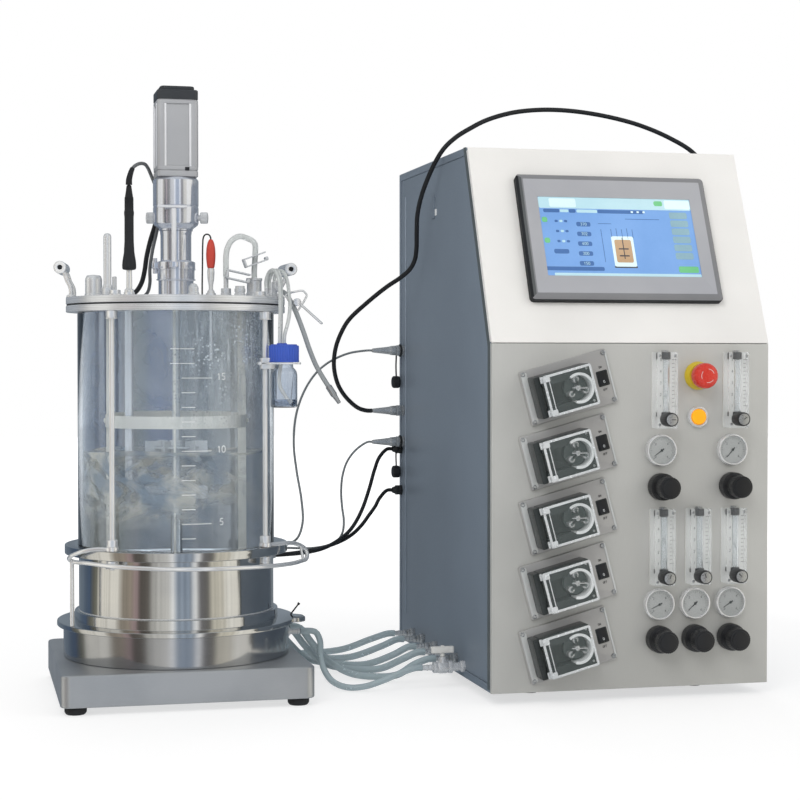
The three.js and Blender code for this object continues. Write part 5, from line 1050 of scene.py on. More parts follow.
def build_probes():
    """Electrodes: long turned bodies with steel nuts, tapered boots and grips."""
    steel = Shape()
    at = upright(-71.9, -56)
    steel.round([[0, 300], [4, 302], [6, 306], [6, 563], [0, 563]], at, sides=32, cut=1.2)
    steel.nut(8, 565.2, 571, 0.8, at)
    steel.round([[0, 570], [6.6, 570], [6.6, 574.2], [4.2, 576], [3.8, 604], [0, 604]], at, sides=32, cut=0.8)
    foam = upright(42.6, -57)
    steel.round([[0, 470], [2.6, 472], [2.6, 563], [0, 563]], foam, sides=24)
    steel.nut(7.4, 565.2, 570.5, 0.7, foam)
    steel.round([[0, 570], [5.6, 570], [5.2, 573], [3, 576], [3.2, 582], [4.6, 590], [5.2, 600], [4.8, 605.5],
                 [0, 605.5]], foam, sides=32, cut=0.7)
    steel.make("probe_steels", "bright_wire", "ph_probe foam_probe", "polished_steel")
    boot = Shape()
    boot.round([[3.6, 601.5], [9.4, 602.6], [9.9, 607], [9.4, 614], [7.4, 626], [6.5, 642], [6.4, 676], [6.9, 680],
                [6.9, 683],
                [6.3, 685], [5.9, 702], [4.4, 712], [3.3, 720.5], [0, 720.5]], at, sides=48, cut=1.8)
    ribs = [[3.0, 688]] + [p for k in range(9) for p in ([6.35, 688.4 + 1.7 * k], [6.35, 689.3 + 1.7 * k],
                                                         [5.7, 689.8 + 1.7 * k])] + [[3.0, 704]]
    boot.round(ribs, at, sides=40, cut=0.2)
    boot.make("ph_probe_boot", "black_rubber", "ph_probe", "black_rubber")
    grip = Shape().round([[0, 605.2], [4.8, 605.5], [5.6, 610], [6.5, 618], [6.7, 625], [6.2, 634], [4.6, 642],
                          [2.4, 646.4], [0, 646.6]],
                         foam, sides=48, cut=2.4)
    grip.make("foam_probe_grip", "red_grip", "foam_probe", "red_plastic").visible_glossy = False


def build_bottle():
    """Sample bottle: a thin turned wall with shoulder and neck; ribbed cap; dip tube and a little fluid."""
    at = upright(138, -108)
    wall = [[0, 409.6], [17, 409.6], [18.9, 412], [18.9, 455], [17.6, 461], [13, 466], [13, 488], [11.4, 488],
            [11.4, 465.4],
            [16.2, 460], [17.3, 455], [17.3, 413], [15.9, 411.4], [0, 411.4]]
    cuts = [0, 1.5, 1.5, 2, 2, 1.4, 0.5, 0.5, 1.4, 2, 2, 1, 1, 0]
    Shape().patch(turned(softened(wall, cuts, 5), 72), at).make("sample_bottle_wall", "bottle_glass", "sample_bottle",
                                                                "glass")
    cap = Shape().slab(fluted_outline(21.2, 34, 1.0), 473.2, 496.4, 1.4, at)
    cap.disc(18.8, 496, 498, at, top=18.2, sides=64, cut=0.9)
    cap.ring(13, 21.5, 473, 475.4, at, sides=72, cut=0.5)
    for x, y in ((0.5, -0.5), (-7, -5.5), (-4, 6.5)):
        cap.disc(3.8, 497.5, 499.6, moved(at, x, y), sides=24, cut=0.5)
    cap.make("bottle_cap_ribbed", "blue_cap", "bottle_cap", "blue_plastic")
    shift = np.array([AXIS[0] + 138, AXIS[1] - 108, 0])
    dip = smooth_path(np.array([[-4, 1, 474], [-5, 1, 462], [-6.5, 1, 450], [-5, 0, 438], [1, -1, 427], [8, -2, 416]],
                               float) + shift, 8)
    Shape().wire(dip, 2.6, sides=16).make("bottle_dip_tube", "white_plastic", slot="white_plastic")
    fluid = [[0, 411.9], [15.6, 411.9], [16.8, 413.6], [16.8, 421], [0, 421.4]]
    Shape().round(fluid, at, sides=48, cut=0.8).make("bottle_sample", "bottle_fluid", slot="glass")


def build_clamps():
    """Tube clamps: clear pinch clamps on the vent loop, and the sprung clamp with its long lever."""
    clear = Shape()
    for middle, lean in (((-226, -78, 618), 20), ((-252, -85, 594), -12)):
        at = spun(place(np.array(middle, float) + [0, -6, 0], (1, 0, 0), (0, 0, 1)), lean)
        for up in (-5.5, 5.5):
            clear.block((34, 2.2), -8, 8, 0.7, moved(at, 0, up, 0), radius=0.9)
        clear.block((2.6, 13), -8, 8, 0.7, moved(at, -16, 0, 0), radius=1)
        clear.block((4, 5), -8, 8, 0.7, moved(at, 15.5, -3.5, 0), radius=1.2)
    clear.make("pinch_clamps", "clamp_plastic", slot="clear_plastic")
    spring = Shape()
    shift = np.array([ROUTE_SHIFT, 0, 0])
    jaw = np.array([-160, -93, 546.0]) + shift
    spring.wire(evened(smooth_path(np.array([[-14, 4, 22], [-4, 1, 6], [0, 0, -3], [5, -2, 3], [12, -4, 14],
                                             [16, -5, 22]], float) + jaw, 8), 1.5), 1.5, sides=12)
    spring.wire(evened(smooth_path(np.array([[16, -5, 22], [10, -4, 28], [0, -1, 27], [-8, 2, 25], [-14, 4, 22]],
                                            float) + jaw, 8), 1.5), 1.5, sides=12)
    lever = along(np.array([4, 0, 12]) + jaw, np.array([40, -12, -22]) + jaw)
    spring.slab(box_outline(9, 3.2, 1.4), 0, 46, 1.2, lever)
    spring.disc(5.5, -4, 4, along(np.array([2, -3, 12]) + jaw, np.array([2, -9, 12]) + jaw), cut=1, sides=32)
    spring.make("spring_clamp", "bright_wire", slot="polished_steel")


# --- Cabinet --------------------


def carve(piece, *cutters):
    """Cuts closed shapes out of a piece and keeps its finishes and creases."""
    for cutter in cutters:
        tool = cutter.piece("cutter", "black_plastic")
        step = piece.modifiers.new("carve", "BOOLEAN")
        step.object, step.operation, step.solver = tool, "DIFFERENCE", "EXACT"
        bpy.context.view_layer.update()
        cut = bpy.data.meshes.new_from_object(piece.evaluated_get(bpy.context.evaluated_depsgraph_get()))
        piece.modifiers.remove(step)
        bpy.data.objects.remove(tool)
        old, piece.data = piece.data, cut
        bpy.data.meshes.remove(old)
    piece.data.shade_smooth()
    piece.data.set_sharp_from_angle(angle=CREASE)
    return piece


def inset_corners(corners, distance):
    """Corners of the outline a distance inside: c - d (n0 + n1) / (1 + n0 . n1)."""
    c = np.asarray(corners, float)
    edge = np.roll(c, -1, 0) - c
    n1 = np.stack([edge[:, 1], -edge[:, 0]], 1) / np.linalg.norm(edge, axis=1, keepdims=True)
    n0 = np.roll(n1, 1, 0)
    return c - distance * (n0 + n1) / (1 + (n0 * n1).sum(1, keepdims=True))


def side_corners(setback):
    """The case's side outline in (y, z), its front a setback behind the fascia's outer face."""
    lean = setback / np.cos(SLOPE) + (TOP - BREAK) * np.tan(SLOPE)
    knee = BREAK - setback * np.tan(SLOPE / 2)
    return np.array([[FACE + setback, 16], [BACK, 16], [BACK, TOP], [FACE + lean, TOP], [FACE + setback, knee]])


def crosswise(x):
    """A place whose outline lies in (y, z) and which grows to the right from x."""
    return place((SIDE + x, 0, 0), (0, 1, 0), (0, 0, 1))


def build_case():
    """Cabinet case: its side outline run across, with sunk door panels, louvres, mains socket and latches."""
    outer = side_corners(8.3)
    case = Shape().slab(drawn_outline(outer, 3, 5), 0, WIDTH, 0.9, crosswise(0))
    # The core only shows in front of the shell, so its other sides stay under the shell's.
    within = np.array([[0, 0.8], [-3, 0.8], [-3, -0.8], [0, -0.8], [0, 0]])
    core = Shape().slab(drawn_outline(side_corners(2.8) + within, 1, 3), 2.1, WIDTH - 2.1, 0.3, crosswise(0))
    piece = case.make("case_shell", "slate_paint", "cabinet_case", "slate_paint")
    core.make("case_core", "slate_border", "cabinet_case", "slate_paint")
    cutters = []
    for low, high in ((-1, 1.5), (WIDTH - 1.5, WIDTH + 1)):
        cutters.append(Shape().slab(drawn_outline(inset_corners(outer, 11), 2, 3), low, high, 0.1, crosswise(0)))
        cutters.append(Shape().slab(box_outline(17, 34, 1.5, 3, (FACE + 320, 711)),
                                    *((-1, 6) if low < 0 else (WIDTH - 6, WIDTH + 1)), 0.1, crosswise(0)))
    for row in range(6):
        cutters.append(Shape().block((170, 6), -3, 1, 0.1, facing_back(SIDE + 205, 563 + 16 * row), radius=2))
    cutters.append(Shape().block((50, 30), -18, 1, 0.1, facing_back(SIDE + 95, 85), radius=1.5))
    carve(piece, *cutters)
    doors = Shape()
    # Painted highlight: a thin bead near the back of each side, lighter than the paint, for the light caught by a fold.
    for low, high in ((-0.5, 1.2), (WIDTH - 1.2, WIDTH + 0.5)):
        doors.slab(box_outline(3, 680, 0.9, 3, (BACK - 42, 402)), low, high, 0.4, crosswise(0), look=1)
    # Painted shade: a darker strip along each side's front edge, between the door panel and the front.
    corners, inner = side_corners(9), side_corners(19)
    shade_strip = [corners[3], corners[4], corners[0] + [0, 4], inner[0] + [0, 4], inner[4], inner[3]]
    for low, high in ((-0.5, 0.6), (WIDTH - 0.6, WIDTH + 0.5)):
        doors.slab(drawn_outline(np.array(shade_strip)[::-1], 0.8, 3), low, high, 0.3, crosswise(0), look=2)
    panel = drawn_outline(inset_corners(outer, 12.2), 3, 4)
    for low, high in ((0.7, 1.6), (WIDTH - 1.6, WIDTH - 0.7)):
        doors.slab(panel, low, high, 0.35, crosswise(0))
    piece = doors.make("case_doors", ["slate_paint", "slate_highlight_bead", "slate_shade_strip"], "cabinet_case", "slate_paint")
    carve(piece, *[Shape().slab(box_outline(18, 35, 1.5, 3, (FACE + 320, 711)), low, high, 0.1, crosswise(0)) for low,
                   high in ((-1, 3), (WIDTH - 3, WIDTH + 1))])
    latches = Shape()
    for at, mirror in ((facing_left(FACE + 320, 711, SIDE + 6), 1), (facing_right(FACE + 320, 711, SIDE + WIDTH - 6), -1)):
        latches.block((16.4, 33.4), -0.6, 0.4, 0.2, at, look=1, radius=1)
        latches.block((11, 26), 0.3, 3.4, 0.8, moved(at, 1.5 * mirror, 2), radius=1.2)
        latches.block((13, 5), 0.3, 5.4, 1.0, moved(at, 0, -11), radius=1.2)
        latches.block((8.5, 10), 5.4, 6.4, 0.4, moved(at, 16 * mirror, -9), look=2, radius=0.8)
    latches.make("case_latches", ["connector", "vent_dark", "white_print"], "cabinet_case", "satin_steel")
    back = Shape()
    for row in range(6):
        # Painted shade: a dark sheet at the bottom of each louvre slot stands for the unlit inside of the case.
        back.block((168, 4.6), -3.2, -2.2, 0.2, facing_back(SIDE + 205, 563 + 16 * row), look=0, radius=1)
        back.block((166, 1.0), -2.6, 0.6, 0.3, moved(facing_back(SIDE + 205, 563 + 16 * row), up=1.6), look=1, radius=0.5)
    back.block((49.4, 29.4), -18.5, -17, 0.4, facing_back(SIDE + 95, 85), radius=1)
    socket = facing_back(SIDE + 95, 85)
    for x, y in ((0, 5), (-8, -4), (8, -4)):
        back.block((2.4, 6.4), -17.2, -4, 0.6, moved(socket, x, y), look=2, radius=0.9)
    for x in (-31, 31):
        back.round([[0, -0.2], [3.6, -0.2], [3.2, 1.4], [0, 1.8]], moved(socket, x), look=2, cut=0.6, sides=24)
    back.make("case_back_fittings", ["vent_dark", "slate_paint", "connector"], "cabinet_case", "black_plastic")
    screws = Shape()
    for x in (12, WIDTH - 12):
        for z in (30, 270, 510, 766):
            screws.round([[0, -0.2], [4.2, -0.2], [3.4, 1.4], [0, 2.0]], facing_back(SIDE + x, z), cut=0.7, sides=28)
    for y in (FACE + 150, FACE + 520):
        for x in (12, WIDTH - 12):
            screws.round([[0, -0.2], [4.2, -0.2], [3.4, 1.2], [0, 1.7]], place((SIDE + x, y, TOP)), cut=0.7, sides=28)
    screws.make("case_screws", "bright_wire", "cabinet_case", "polished_steel")
    feet = Shape()
    for x, y in ((80, 80), (WIDTH - 80, 80), (WIDTH - 80, 460), (80, 460)):
        feet.round([[0, 2], [11, 2], [13, 4], [12.4, 14], [11, 16.4], [0, 16.4]], place((SIDE + x, FACE + y, 0)), cut=1.6)
    feet.make("case_feet", "black_rubber", "cabinet_case", "black_rubber")


def build_side_fittings():
    """Cable sockets with tapered sleeves, glands, hose tails and the drain valve's body on the left side."""
    sleeves = Shape()
    for z in (492, 393.5, 342.5):
        at = facing_left(FACE + 515, z)
        sleeves.nut(9.4, -1.6, 2.4, 0.6, at)
        sleeves.slab(fluted_outline(8.6, 30, 0.5), 2.4, 12, 0.8, at)
        sleeves.round([[0, 11.6], [7.6, 11.6], [8, 13], [7.4, 21], [6.6, 22], [5.6, 30], [3.4, 51], [2.6, 52.3],
                       [0, 52.3]], at, cut=1.2)
    for y in (441, 378, 301, 246, 182):
        at = facing_left(FACE + y, 38)
        sleeves.nut(8.4, -1.6, 7, 0.7, at)
        sleeves.round([[0, 6.5], [6.4, 6.5], [6.4, 11], [4.4, 12.4], [4.7, 16], [3.9, 19], [4.7, 20], [3.9, 23],
                       [4.7, 24], [3.9, 27], [3.6, 32], [0, 32]],
                      at, cut=0.35, sides=32)
        sleeves.ring(4.3, 5.9, 12.4, 17.6, at, cut=0.5, sides=40)
    sleeves.make("side_sockets", "connector", "cabinet_case", "satin_steel")
    glands = Shape()
    for z in (330, 262):
        at = facing_left(FACE + 528, z)
        glands.nut(8.8, -1.6, 5, 0.6, at)
        glands.slab(fluted_outline(7.8, 18, 0.5), 5, 10, 0.7, at)
        glands.disc(6.4, 9.6, 15.2, at, top=4.6, cut=0.9, sides=32)
    at = facing_right(FACE + 425, 640, SIDE + WIDTH)
    glands.nut(9.4, -1.6, 6, 0.6, at)
    glands.slab(fluted_outline(8.4, 18, 0.5), 6, 13, 0.7, at)
    glands.disc(7.0, 12.6, 20, at, top=5.0, cut=0.9, sides=32)
    glands.make("side_glands", "black_plastic", "cabinet_case", "black_plastic")
    caps = Shape()
    for z, socket in ((440, 492), (292, 342.5)):
        at = facing_left(FACE + 533, z)
        caps.round([[0, 1.5], [8.6, 1.5], [10, 3], [10, 12], [8, 14], [0, 14]], at, cut=1.6)
        strap = [[SIDE - 9, FACE + 523.8, socket - 4], [SIDE - 8, FACE + 529, socket - 12],
                 [SIDE - 7.5, FACE + 533, (socket + z) / 2], [SIDE - 7, FACE + 533, z + 9]]
        caps.wire(evened(smooth_path(strap, 8), 2.5), 1.3, sides=10)
        caps.ring(8.4, 10.4, 3.4, 6.4, facing_left(FACE + 515, socket), cut=0.6, sides=40)
    caps.make("dust_caps", "black_rubber", slot="black_rubber")
    valve = Shape()
    at = facing_left(FACE + 142, 32)
    valve.nut(9, -1.6, 5, 0.7, at)
    valve.disc(6, 4, 19, at, cut=0.6)
    valve.nut(10, 18, 24, 0.8, at)
    valve.round([[0, 23.5], [7.5, 23.5], [9, 27], [9, 37], [7.5, 41], [0, 41]], at, cut=1.4)
    valve.nut(9, 40, 46, 0.8, at)
    valve.round([[0, 45], [4, 45], [4.5, 50], [3.8, 53], [4.5, 54.5], [3.8, 58], [3.6, 62], [0, 62]], at, cut=0.35,
                sides=32)
    valve.round([[0, 38], [6.4, 38], [6.4, 44], [5, 47], [0, 47]], place((SIDE - 32, FACE + 142, 0)), cut=0.7)
    valve.make("drain_valve_body", "turned_steel", "cabinet_case", "polished_steel")
    handle = Shape()
    top = place((SIDE - 32, FACE + 142, 39))
    handle.round([[0, 8.4], [3.4, 8.4], [3.4, 15], [5.2, 15.4], [5.2, 17], [0, 17]], top, cut=0.3, sides=32)
    handle.slab(box_outline(34, 10, 3.4, 6), 13.6, 23, 1.6, top)
    handle.disc(2.6, 22.6, 24.2, top, cut=0.3, sides=24)
    handle.make("drain_valve_lever", "white_plastic", "drain_valve_handle", "white_plastic", moves=True)


def channel(width, low, high, sheet=2.5, lip=8.0, wall=1.8):
    """A sheet bent back along both sides: its C-shaped section run upwards."""
    corners = [(0, -lip), (wall, -lip), (wall, -sheet), (width - wall, -sheet), (width - wall, -lip), (width, -lip),
               (width, 0), (0, 0)]
    return drawn_outline(corners, [0.3, 0.3, 0.3, 0.3, 0.3, 0.3, 1.6, 1.6], 5), slab_steps(low, high, 0.4)


def build_fascias():
    """Lower fascia, a bent sheet, and the seam under the sloping one; the sloping sheet keeps its own shape."""
    at = place((SIDE, FACE, 0), (1, 0, 0), (0, -1, 0))
    at[:3, 2] = (0, 0, 1)
    outline, steps = channel(WIDTH, 16, 498.9)
    sheet = Shape().patch(raised(outline, steps), at)
    sheet.make("lower_fascia_sheet", "fascia_satin", "lower_fascia", "fascia_panel")
    slope_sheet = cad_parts["upper_fascia"]
    slope_sheet.data.materials.clear()
    slope_sheet.data.materials.append(LOOKS["white_enamel"])
    edge = slope_sheet.modifiers.new("soft edges", "BEVEL")
    edge.width, edge.segments, edge.limit_method = 0.0006, 2, "ANGLE"


# Fields of the plain page: middle across and up, width, height, look and how far each stands proud.
PAGE = [
    (0, 53.5, 230, 18, 2, 0.2), (-79, 53.5, 40, 14, 5, 0.3), (66, 55, 13, 8, 4, 0.3), (95, 53.5, 39, 14, 5, 0.3),
    (-97, 40.5, 24, 5.5, 1, 0.3), (-78, 40.5, 13, 4.5, 2, 0.3), (-66, 40.5, 10, 5.5, 1, 0.3), (-44, 40.5, 31, 5, 2, 0.3),
    (7, 40.5, 70, 5.5, 1, 0.2), (-74, -51, 88, 6, 1, 0.2), (5, -60, 220, 4.5, 2, 0.2), (97, -50.5, 30, 10, 4, 0.2),
    (-109, 26, 8, 8, 4, 0.3), (-109, -7, 8, 8, 4, 0.3), (-90, -24, 22, 7, 1, 0.2), (-20, 21, 20, 0.8, 1, 0.2),
    (38, 29, 52, 0.8, 1, 0.2), (-27, -14, 0.8, 52, 1, 0.2), (3, -23, 33, 48, 5, 0.2), (3, -22.5, 25, 36, 6, 0.4),
    (3, -30, 15, 2, 3, 0.5), (3, -19, 15, 2, 3, 0.5), (3, -18, 1.4, 34, 3, 0.5), (3, -47.5, 34, 3, 3, 0.1),
]


def build_touch_panel():
    """Touch panel: a bevelled rim, a pale face, and a sunk lit screen with a plain page of fields and a vessel sign."""
    at = on_slope(205, 161)
    frame_shape = Shape()

    def ring(inset, height):
        return raised(box_outline(286 - 2 * inset, 198 - 2 * inset, max(6 - inset, 1.2), 8), [[0, height]])[0]

    rim = np.stack([ring(*row) for row in ((2, 0.2), (0, 0.8), (0, 9.6), (0.6, 10.4), (3.4, 12.4), (7, 14.2),
                                           (8.2, 14.3), (9.2, 14.0))])
    looks = np.repeat([0, 0, 0, 1, 1, 1, 1], 32).reshape(7, 32)
    # Painted shade: on the left side the chamfer is drawn black and then dark grey, for the side that turns from the
    # light.
    looks[2:5, 12:19] = [[0], [0], [3]]
    frame_shape.patch(rim, at, look=looks.ravel(), ends=False)
    opening = [raised(box_outline(230.5 + 2 * s, 125 + 2 * s, 1.2, 8, (0, -0.6)), [[0, h]])[0] for s,
               h in ((0.8, 14.0), (0, 13.6), (0, 12.4))]
    frame_shape.patch(np.stack([ring(9.2, 14.0), *opening]), at, look=2, ends=False)
    frame_shape.block((282, 194), 0.1, 0.9, 0.2, at, look=0, radius=4)
    names = ["vent_dark", "panel_rim", "panel_face", "panel_painted_shade"]
    frame_shape.make("touch_panel_frame", names, "touch_panel", "dark_frame")
    screen = Shape().block((230.8, 125.4), 11.4, 12.6, 0.1, moved(at, 0, -0.6))
    fields = list(PAGE)
    fields += [(-52 - 0.8 * k, 19.5 - 15.5 * k, 21, 7, 1, 0.2) for k in range(5)]
    fields += [(-92 + 7 * j, 24 - 16 * k, 4.6, 3.6, 2 if j % 2 else 1, 0.3) for k in range(3) for j in range(3)]
    fields += [(94, 36 - 13 * k, 27, 10.5, 7, 0.2) for k in range(6)]
    fields += [(-12 + 8 * k, 5.5, 0.8, 14 + 3 * (k % 2), 1, 0.2) for k in range(5)]
    fields += [(24 + 9 * k, 40.5, 3.6, 2.8, 5, 0.4) for k in range(3)]
    for u, v, w, h, look, lift in fields:
        screen.block((w, h), 12.4, 12.6 + lift, 0.05, moved(at, u, v - 0.6), look=look, radius=min(2.5, h / 3, w / 3))
    for k, value in enumerate(("370", "702", "400", "300", "150")):
        written(screen, value, moved(at, -52 - 0.8 * k, 18.9 - 15.5 * k, 12.95), 4.2, 0.3, look=2)
    lights = ["screen_blue", "screen_bar", "screen_field", "screen_line", "screen_green", "screen_white", "screen_tan",
              "screen_list"]
    screen.make("touch_panel_screen", lights, "touch_panel", "glass")


# --- Pumps, gas controls, buttons --------------------


def pump_place(index):
    """Pump plates hang in a column, each turned a sixth of a right angle."""
    c, s = np.cos(np.radians(15)), np.sin(np.radians(15))
    return place((SIDE + 109.5, FACE, 438.4 - 89.5 * index), (c, 0, s), (-s, 0, c))


def build_pump_bodies():
    """Pump plates, heads and tracks: rounded slabs, a round well open to the left and a bright bent track in each."""
    plates, heads, extras, tracks, screws, wells, mouths = (Shape() for _ in range(7))
    for i in range(5):
        at = pump_place(i)
        plates.slab(box_outline(130, 77, 3, 5), -0.4, 5, 1.1, at)
        # Painted highlights: the raised ridge at the left and the lip at the right are drawn lighter than the plate.
        plates.slab(box_outline(9, 72, 3, 5, (-59, 0)), 4.8, 6.4, 1.3, at, look=1)
        plates.slab(box_outline(2.6, 72, 0.9, 3, (63, 0)), 4.6, 5.9, 0.5, at, look=1)
        heads.block((72, 58), 4.8, 35, 0.7, moved(at, -10, -1), radius=2)
        wells.disc(20.5, 13, 38, moved(at, 5, -2), cut=0.2, sides=64)
        mouths.block((44, 30), 13.03, 38, 0.2, moved(at, -27, -2), radius=1)
        extras.block((9, 58), 4.8, 33, 1.2, moved(at, -51, -1), radius=2)
        extras.slab(box_outline(16.8, 21.8, 1.6, 4, (51, -1)), 4.8, 5.4, 0.3, at)
        for word, up in (("ON", 15), ("OFF", -17)):
            written(plates, word, moved(at, 51, up, 5.05), 3.0, 0.28, look=2)
        extras.disc(6.4, 12.8, 13.3, moved(at, 5, -2), cut=0.3, sides=32)
        a = np.radians(np.linspace(118, -118, 48))
        rim = [np.stack([5 + r * np.cos(a), -2 + r * np.sin(a), np.full(48, h)], 1) for r, h in
               ((20.4, 13.4), (21.4, 35.3), (21.0, 35.9), (17.9, 35.9), (17.5, 35.3), (18.2, 13.4))]
        tracks.patch(np.stack(rim, 1), at)
        for x, y in ((-60, 33.5), (60, 33.5), (60, -33.5), (-60, -33.5)):
            spot = moved(at, x, y)
            screws.round([[0, 4.8], [3.6, 4.8], [3.6, 5.6], [2.6, 6.9], [1.9, 7.1], [1.5, 6.4], [0, 6.3]], spot,
                         cut=0.4, sides=28)
        for y in (-24, 22):
            screws.round([[0, 34.8], [2.0, 34.8], [1.6, 35.6], [0, 35.7]], moved(at, 21, y), cut=0.3, sides=20)
    plates.make("pump_plates", ["pump_plate", "plate_ridge_highlight", "black_print"], "lower_fascia", "fascia_panel")
    carve(heads.make("pump_heads", "black_head", "lower_fascia", "black_plastic"), wells, mouths)
    extras.make("pump_head_sides", "black_head", "lower_fascia", "black_plastic")
    # Painted highlight: the steel track is drawn in matt white print.
    tracks.make("pump_tracks", "white_print", "lower_fascia", "roller_steel")
    screws.make("pump_screws", "connector", "lower_fascia", "polished_steel")


def build_pump_movers():
    """Rotors with rollers, hinged clear covers and rocker switches, one of each a pump."""
    for i in range(5):
        at = pump_place(i)
        rotor = Shape()
        seat = moved(at, 5, -2, 13)
        rotor.disc(3, -5, 0.8, seat, sides=28)
        rotor.disc(17, 0.4, 4, seat, look=1, sides=64, cut=0.6)
        rotor.round([[0, 3.8], [4.2, 3.8], [4.2, 15.4], [3.2, 16.6], [0, 16.8]], seat, sides=36, cut=0.7)
        for k in range(3):
            x, y = polar(12.2, 90 + 120 * k)
            spot = moved(seat, x, y)
            rotor.round([[0, 3.8], [4.6, 3.8], [4.6, 15], [4.0, 15.8], [0, 15.8]], spot, sides=32, cut=0.5)
            rotor.disc(1.9, 15.6, 17, spot, look=1, sides=20, cut=0.3)
            rotor.block((13, 3.4), 15.2, 16.2, 0.4, moved(spun(seat, 90 + 120 * k), 6.5), look=2, radius=1.5)
        rotor.block((24, 1.6), 16.1, 17.2, 0.4, moved(spun(seat, -16), 3), look=0, radius=0.7)
        rotor.make(f"pump_rotor_{i + 1}_rollers", ["roller_steel", "rotor_disc", "black_head"], f"pump_rotor_{i + 1}",
                   "roller_steel", moves=True)
        cover = Shape()
        box = box_outline(72, 58, 3, 5, (-10, -1))
        steps = [[2.0, 41.8], [2.0, 35.9], [1.6, 35.3], [0.3, 35.3], [0, 35.7], [0, 42.7], [0.4, 43.5], [1.2, 43.8]]
        cover.patch(raised(box, steps), at)
        cover.make(f"pump_cover_{i + 1}_tray", "cover_sheet", f"pump_cover_{i + 1}", "clear_plastic", moves=True)
        # Painted highlight: the clear cover's rim, catches and hinge are drawn near-white, for the bright edges of the
        # clear plastic.
        rim = Shape()
        rows = [raised(box, [[d, h]])[0] for d, h in ((0.1, 43.2), (0.5, 44.0), (3.0, 44.2), (3.6, 43.7), (2.2, 43.0))]
        rim.patch(np.stack(rows), at, closed=True)
        rim.bar(moved(at, -37.5, -27, 43.5)[:3, 3], moved(at, -37.5, 25, 43.5)[:3, 3], 0.7, sides=12)
        for y in (22.5, -24.5):
            rim.slab(box_outline(9, 8, 1.2, 4, (-40.5, y)), 43.6, 45.2, 0.5, at)
            rim.bar(moved(at, -46, y - 4.5, 37.6)[:3, 3], moved(at, -46, y + 4.5, 37.6)[:3, 3], 2.2, sides=24)
        rim.make(f"pump_cover_{i + 1}_rim", "cover_edge", f"pump_cover_{i + 1}", "clear_plastic", moves=True)
        rocker = Shape()
        pivot = moved(at, 51, -1, 4)
        section = np.array([[-9.4, -2.5], [9.4, -2.5], [9.4, 3.5], [0, 1.9], [-9.4, 3.5]])
        c, s = np.cos(np.radians(8)), np.sin(np.radians(8))
        tilted = np.stack([section[:, 0] * c + section[:, 1] * s, section[:, 1] * c - section[:, 0] * s], 1)
        along_x = place(moved(pivot, -6.8)[:3, 3], pivot[:3, 1], pivot[:3, 2])
        rocker.slab(drawn_outline(tilted, [0.6, 0.6, 0.9, 3.5, 0.9], 5), 0, 13.6, 0.6, along_x)
        upper = place(moved(pivot, 0, 5.6, 1.55)[:3, 3], pivot[:3, 0],
                      pivot[:3, 1] * np.cos(0.02) + pivot[:3, 2] * np.sin(0.02))
        lower = place(moved(pivot, 0, -4.7, 3.75)[:3, 3], pivot[:3, 0],
                      pivot[:3, 1] * np.cos(-0.29) + pivot[:3, 2] * np.sin(-0.29))
        written(rocker, "1", upper, 3.4, 0.3, look=1)
        written(rocker, "0", lower, 3.4, 0.3, look=1)
        rocker.make(f"pump_switch_{i + 1}_rocker", ["black_plastic", "white_print"], f"pump_switch_{i + 1}",
                    "black_plastic", moves=True)


GAS = [(246, 380.5, 349.4, 298.5), (353, 380.5, 349.4, 298.5), (243.5, 161, 133.2, 84.4), (297, 161, 133.2, 84.4),
       (350.5, 161, 133.2, 84.4)]


def build_rotameters():
    """Gas meters: clear bored blocks with a tube, a float, marks, end fittings and a white backing."""
    blocks, backs, tubes, marks, metal = Shape(), Shape(), Shape(), Shape(), Shape()
    bores = []
    for k, (u, low, _, _) in enumerate(GAS):
        u += 2.5
        at = facing_front(SIDE + u, low + 53.25)
        blocks.block((31, 106.5), 1.2, 22, 1.0, at, radius=1.6)
        bores.append(Shape().disc(5.2, 22, 96, place((SIDE + u, FACE - 11.5, low)), sides=36, cut=0.3))
        backs.block((31, 106.5), -0.2, 1.3, 0.4, at, radius=1.6)
        tubes.round([[3.2, 23], [4.6, 23], [5.0, 95], [3.6, 95]], place((SIDE + u, FACE - 11.5, low)), sides=36,
                    cut=0.3, closed=True)
        for j in range(13):
            long = 7 if j % 3 == 0 else 4
            spot = moved(at, 9.5 + long / 2 - 3.5, -22 + 5.4 * j)
            marks.block((long, 0.5), 21.9, 22.12, 0.05, spot, radius=0.2)
            if j % 3 == 0:
                written(marks, str(j // 3 + 1), moved(at, -10.5, -22 + 5.4 * j, 22.0), 3.6, 0.25)
        z = low + 40 + 9 * (k % 3)
        metal.round([[0, z], [2.2, z + 4], [3.1, z + 5], [3.1, z + 6.4], [1.6, z + 8], [0, z + 8.4]],
                    place((SIDE + u, FACE - 11.5, 0)), sides=32, cut=0.4)
        for edge, height in ((low + 96, 10.2), (low + 17, 6.0)):
            metal.disc(6.4, edge, edge + height, place((SIDE + u, FACE - 11.5, 0)), sides=36, cut=0.8, look=1)
        metal.nut(5.8, 0, 3.2, 0.6, place((SIDE + u, FACE - 11.5, low + 106)), look=0)
        for y in (-48, 48):
            for x in (-11.5, 11.5):
                metal.round([[0, 21.8], [2.2, 21.8], [1.8, 22.7], [0, 23]], moved(at, x, y), sides=20, cut=0.3)
    piece = blocks.make("rotameter_blocks", "clear_sheet", "lower_fascia", "clear_plastic")
    carve(piece, *bores)
    backs.make("rotameter_backs", "white_plastic", "lower_fascia", "white_plastic")
    tubes.make("rotameter_tubes", "meter_tube", "lower_fascia", "glass")
    marks.make("rotameter_marks", "black_print", "lower_fascia", "black_plastic")
    metal.make("rotameter_fittings", ["connector", "black_plastic"], "lower_fascia", "satin_steel")


